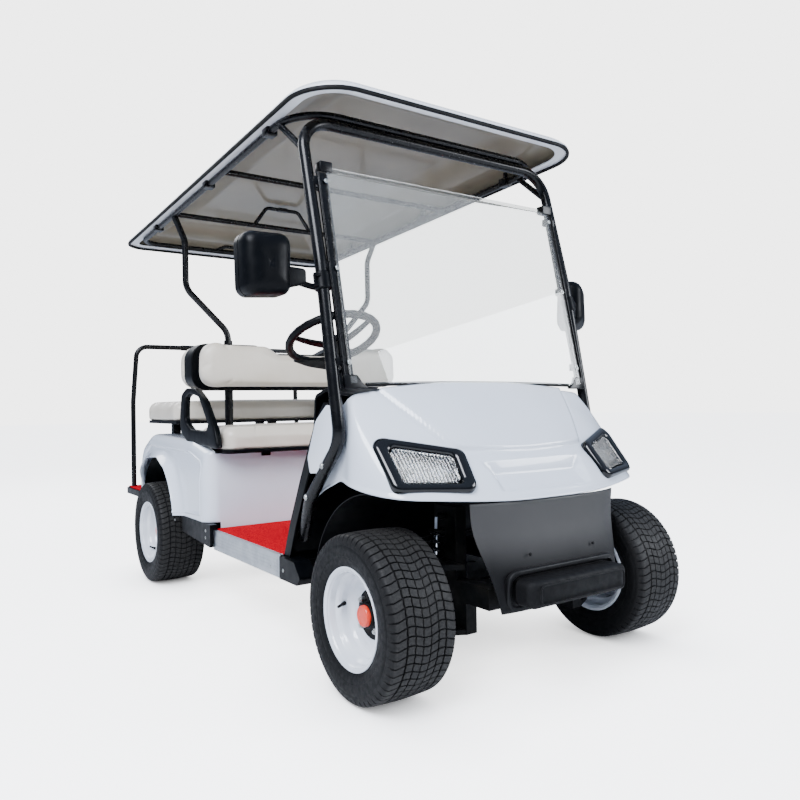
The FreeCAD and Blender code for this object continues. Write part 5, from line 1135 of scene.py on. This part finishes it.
seat_shells()
seat_pad("front_seat_cushion", dense(level_box(-511, 511, 1043, 1382, 633, 50, 10)), (0, 0, 80), 6,
         "front_cushion", "front_seat")
seat_pad("rear_seat_cushion", dense(level_box(-511, 511, 1668, 2176, 742.6, [52, 52, 70, 70], 10)), (0, 0, 80), 7,
         "rear_cushion", "rear_seat")
seat_pad("front_back_cushion", back_outline(1382, 6), (0, -60, 0), 5, "front_back_pad")
seat_pad("rear_back_cushion", back_outline(1579, 8), (0, 60, 0), 5, "rear_back_pad")


# Camera, light and floor

def stood(made, right, upward, back, place):
    """Turns an object to three directions of its own and sets it on its place."""
    turn = np.eye(4)
    turn[:3] = np.column_stack([right, upward, back, place])
    made.matrix_world = Matrix(turn.tolist())


camera_data = bpy.data.cameras.new("view")
camera_data.lens, camera_data.sensor_width = 32.59, 36.0
camera = linked("view", camera_data)
yaw, pitch, roll = 0.605689, -0.005934, -0.015294
ahead = np.array([sin(yaw) * cos(pitch), cos(yaw) * cos(pitch), -sin(pitch)])
level = np.array([cos(yaw), -sin(yaw), 0.0])
over = np.cross(level, ahead)
stood(camera, cos(roll) * level + sin(roll) * over, -sin(roll) * level + cos(roll) * over,
      -ahead, (-1.56089, -2.765, 0.80472))
bpy.context.scene.camera = camera


def seen_in(tree):
    """1 for rays that reach the eye straight or through glass, otherwise 0."""
    rays = add(tree, "LightPath").outputs
    return reckoned(tree, "MAXIMUM", rays["Is Camera Ray"], rays["Is Transmission Ray"])


BACKDROP = 4.2
world = bpy.data.worlds.new("studio")
bpy.context.scene.world = world
world.use_nodes = True
tree = world.node_tree
tree.nodes.clear()
split = add(tree, "SeparateXYZ", {"Vector": add(tree, "TexCoord").outputs["Generated"]})
sky = add(tree, "ValToRGB", {"Fac": split.outputs["Z"]})
for stop, (spot, shade) in zip(sky.color_ramp.elements, ((0.05, "#6E7480"), (0.65, "#C9DDFF"))):
    stop.position, stop.color = spot, linear(shade)
seen = seen_in(tree)
ambient = add(tree, "Background", {"Color": sky.outputs["Color"], "Strength": 0.8})
behind = add(tree, "Background", {"Color": linear("#FFFFFF"), "Strength": BACKDROP})
either = add(tree, "MixShader", {0: seen, 1: ambient.outputs[0], 2: behind.outputs[0]})
add(tree, "OutputWorld", {"Surface": either.outputs[0]})


def lamp(name, place, aim, size, power, colour):
    """A soft rectangular studio light aimed at a point."""
    data = bpy.data.lights.new(name, "AREA")
    data.shape, data.energy, data.color = "RECTANGLE", power, linear(colour)[:3]
    data.size, data.size_y = size
    back = unit(np.array(place, float) - np.array(aim, float))
    side = unit(np.cross((0, 0, 1), back))
    stood(linked(name, data), side, np.cross(back, side), back, place)


lamp("key", (-3.4, -2.6, 4.4), (0, 0, 0.8), (2.6, 2.6), 520, "#F1F5FF")
lamp("fill", (3.6, -4.2, 2.4), (0, -0.6, 0.7), (2.4, 1.8), 190, "#F4F8FF")
lamp("rear", (-1.0, 5.0, 4.2), (0, 0.6, 0.8), (4.0, 2.0), 160, "#FFFFFF")

floor_mesh = bpy.data.meshes.new("floor")
floor_mesh.from_pydata([(-40, -40, -0.001), (40, -40, -0.001), (40, 40, -0.001), (-40, 40, -0.001)], [], [(0, 1, 2, 3)])
floor = linked("floor", floor_mesh)
pale_floor = finish("pale_floor", "#F2F2F2", Roughness=0.9, Specular_IOR_Level=0.1, Emission_Color=(1, 1, 1, 1))
tree = pale_floor.node_tree
seen = seen_in(tree)
# The floor glows as bright as the backdrop, less where something stands close above it: a soft contact shade.
near = add(tree, "AmbientOcclusion", {"Distance": 0.3}, {"samples": 8}).outputs["AO"]
glow = reckoned(tree, "MULTIPLY", seen, reckoned(tree, "MULTIPLY", near, BACKDROP - 0.6))
tree.links.new(glow, shader_of(pale_floor).inputs["Emission Strength"])
floor_mesh.materials.append(pale_floor)
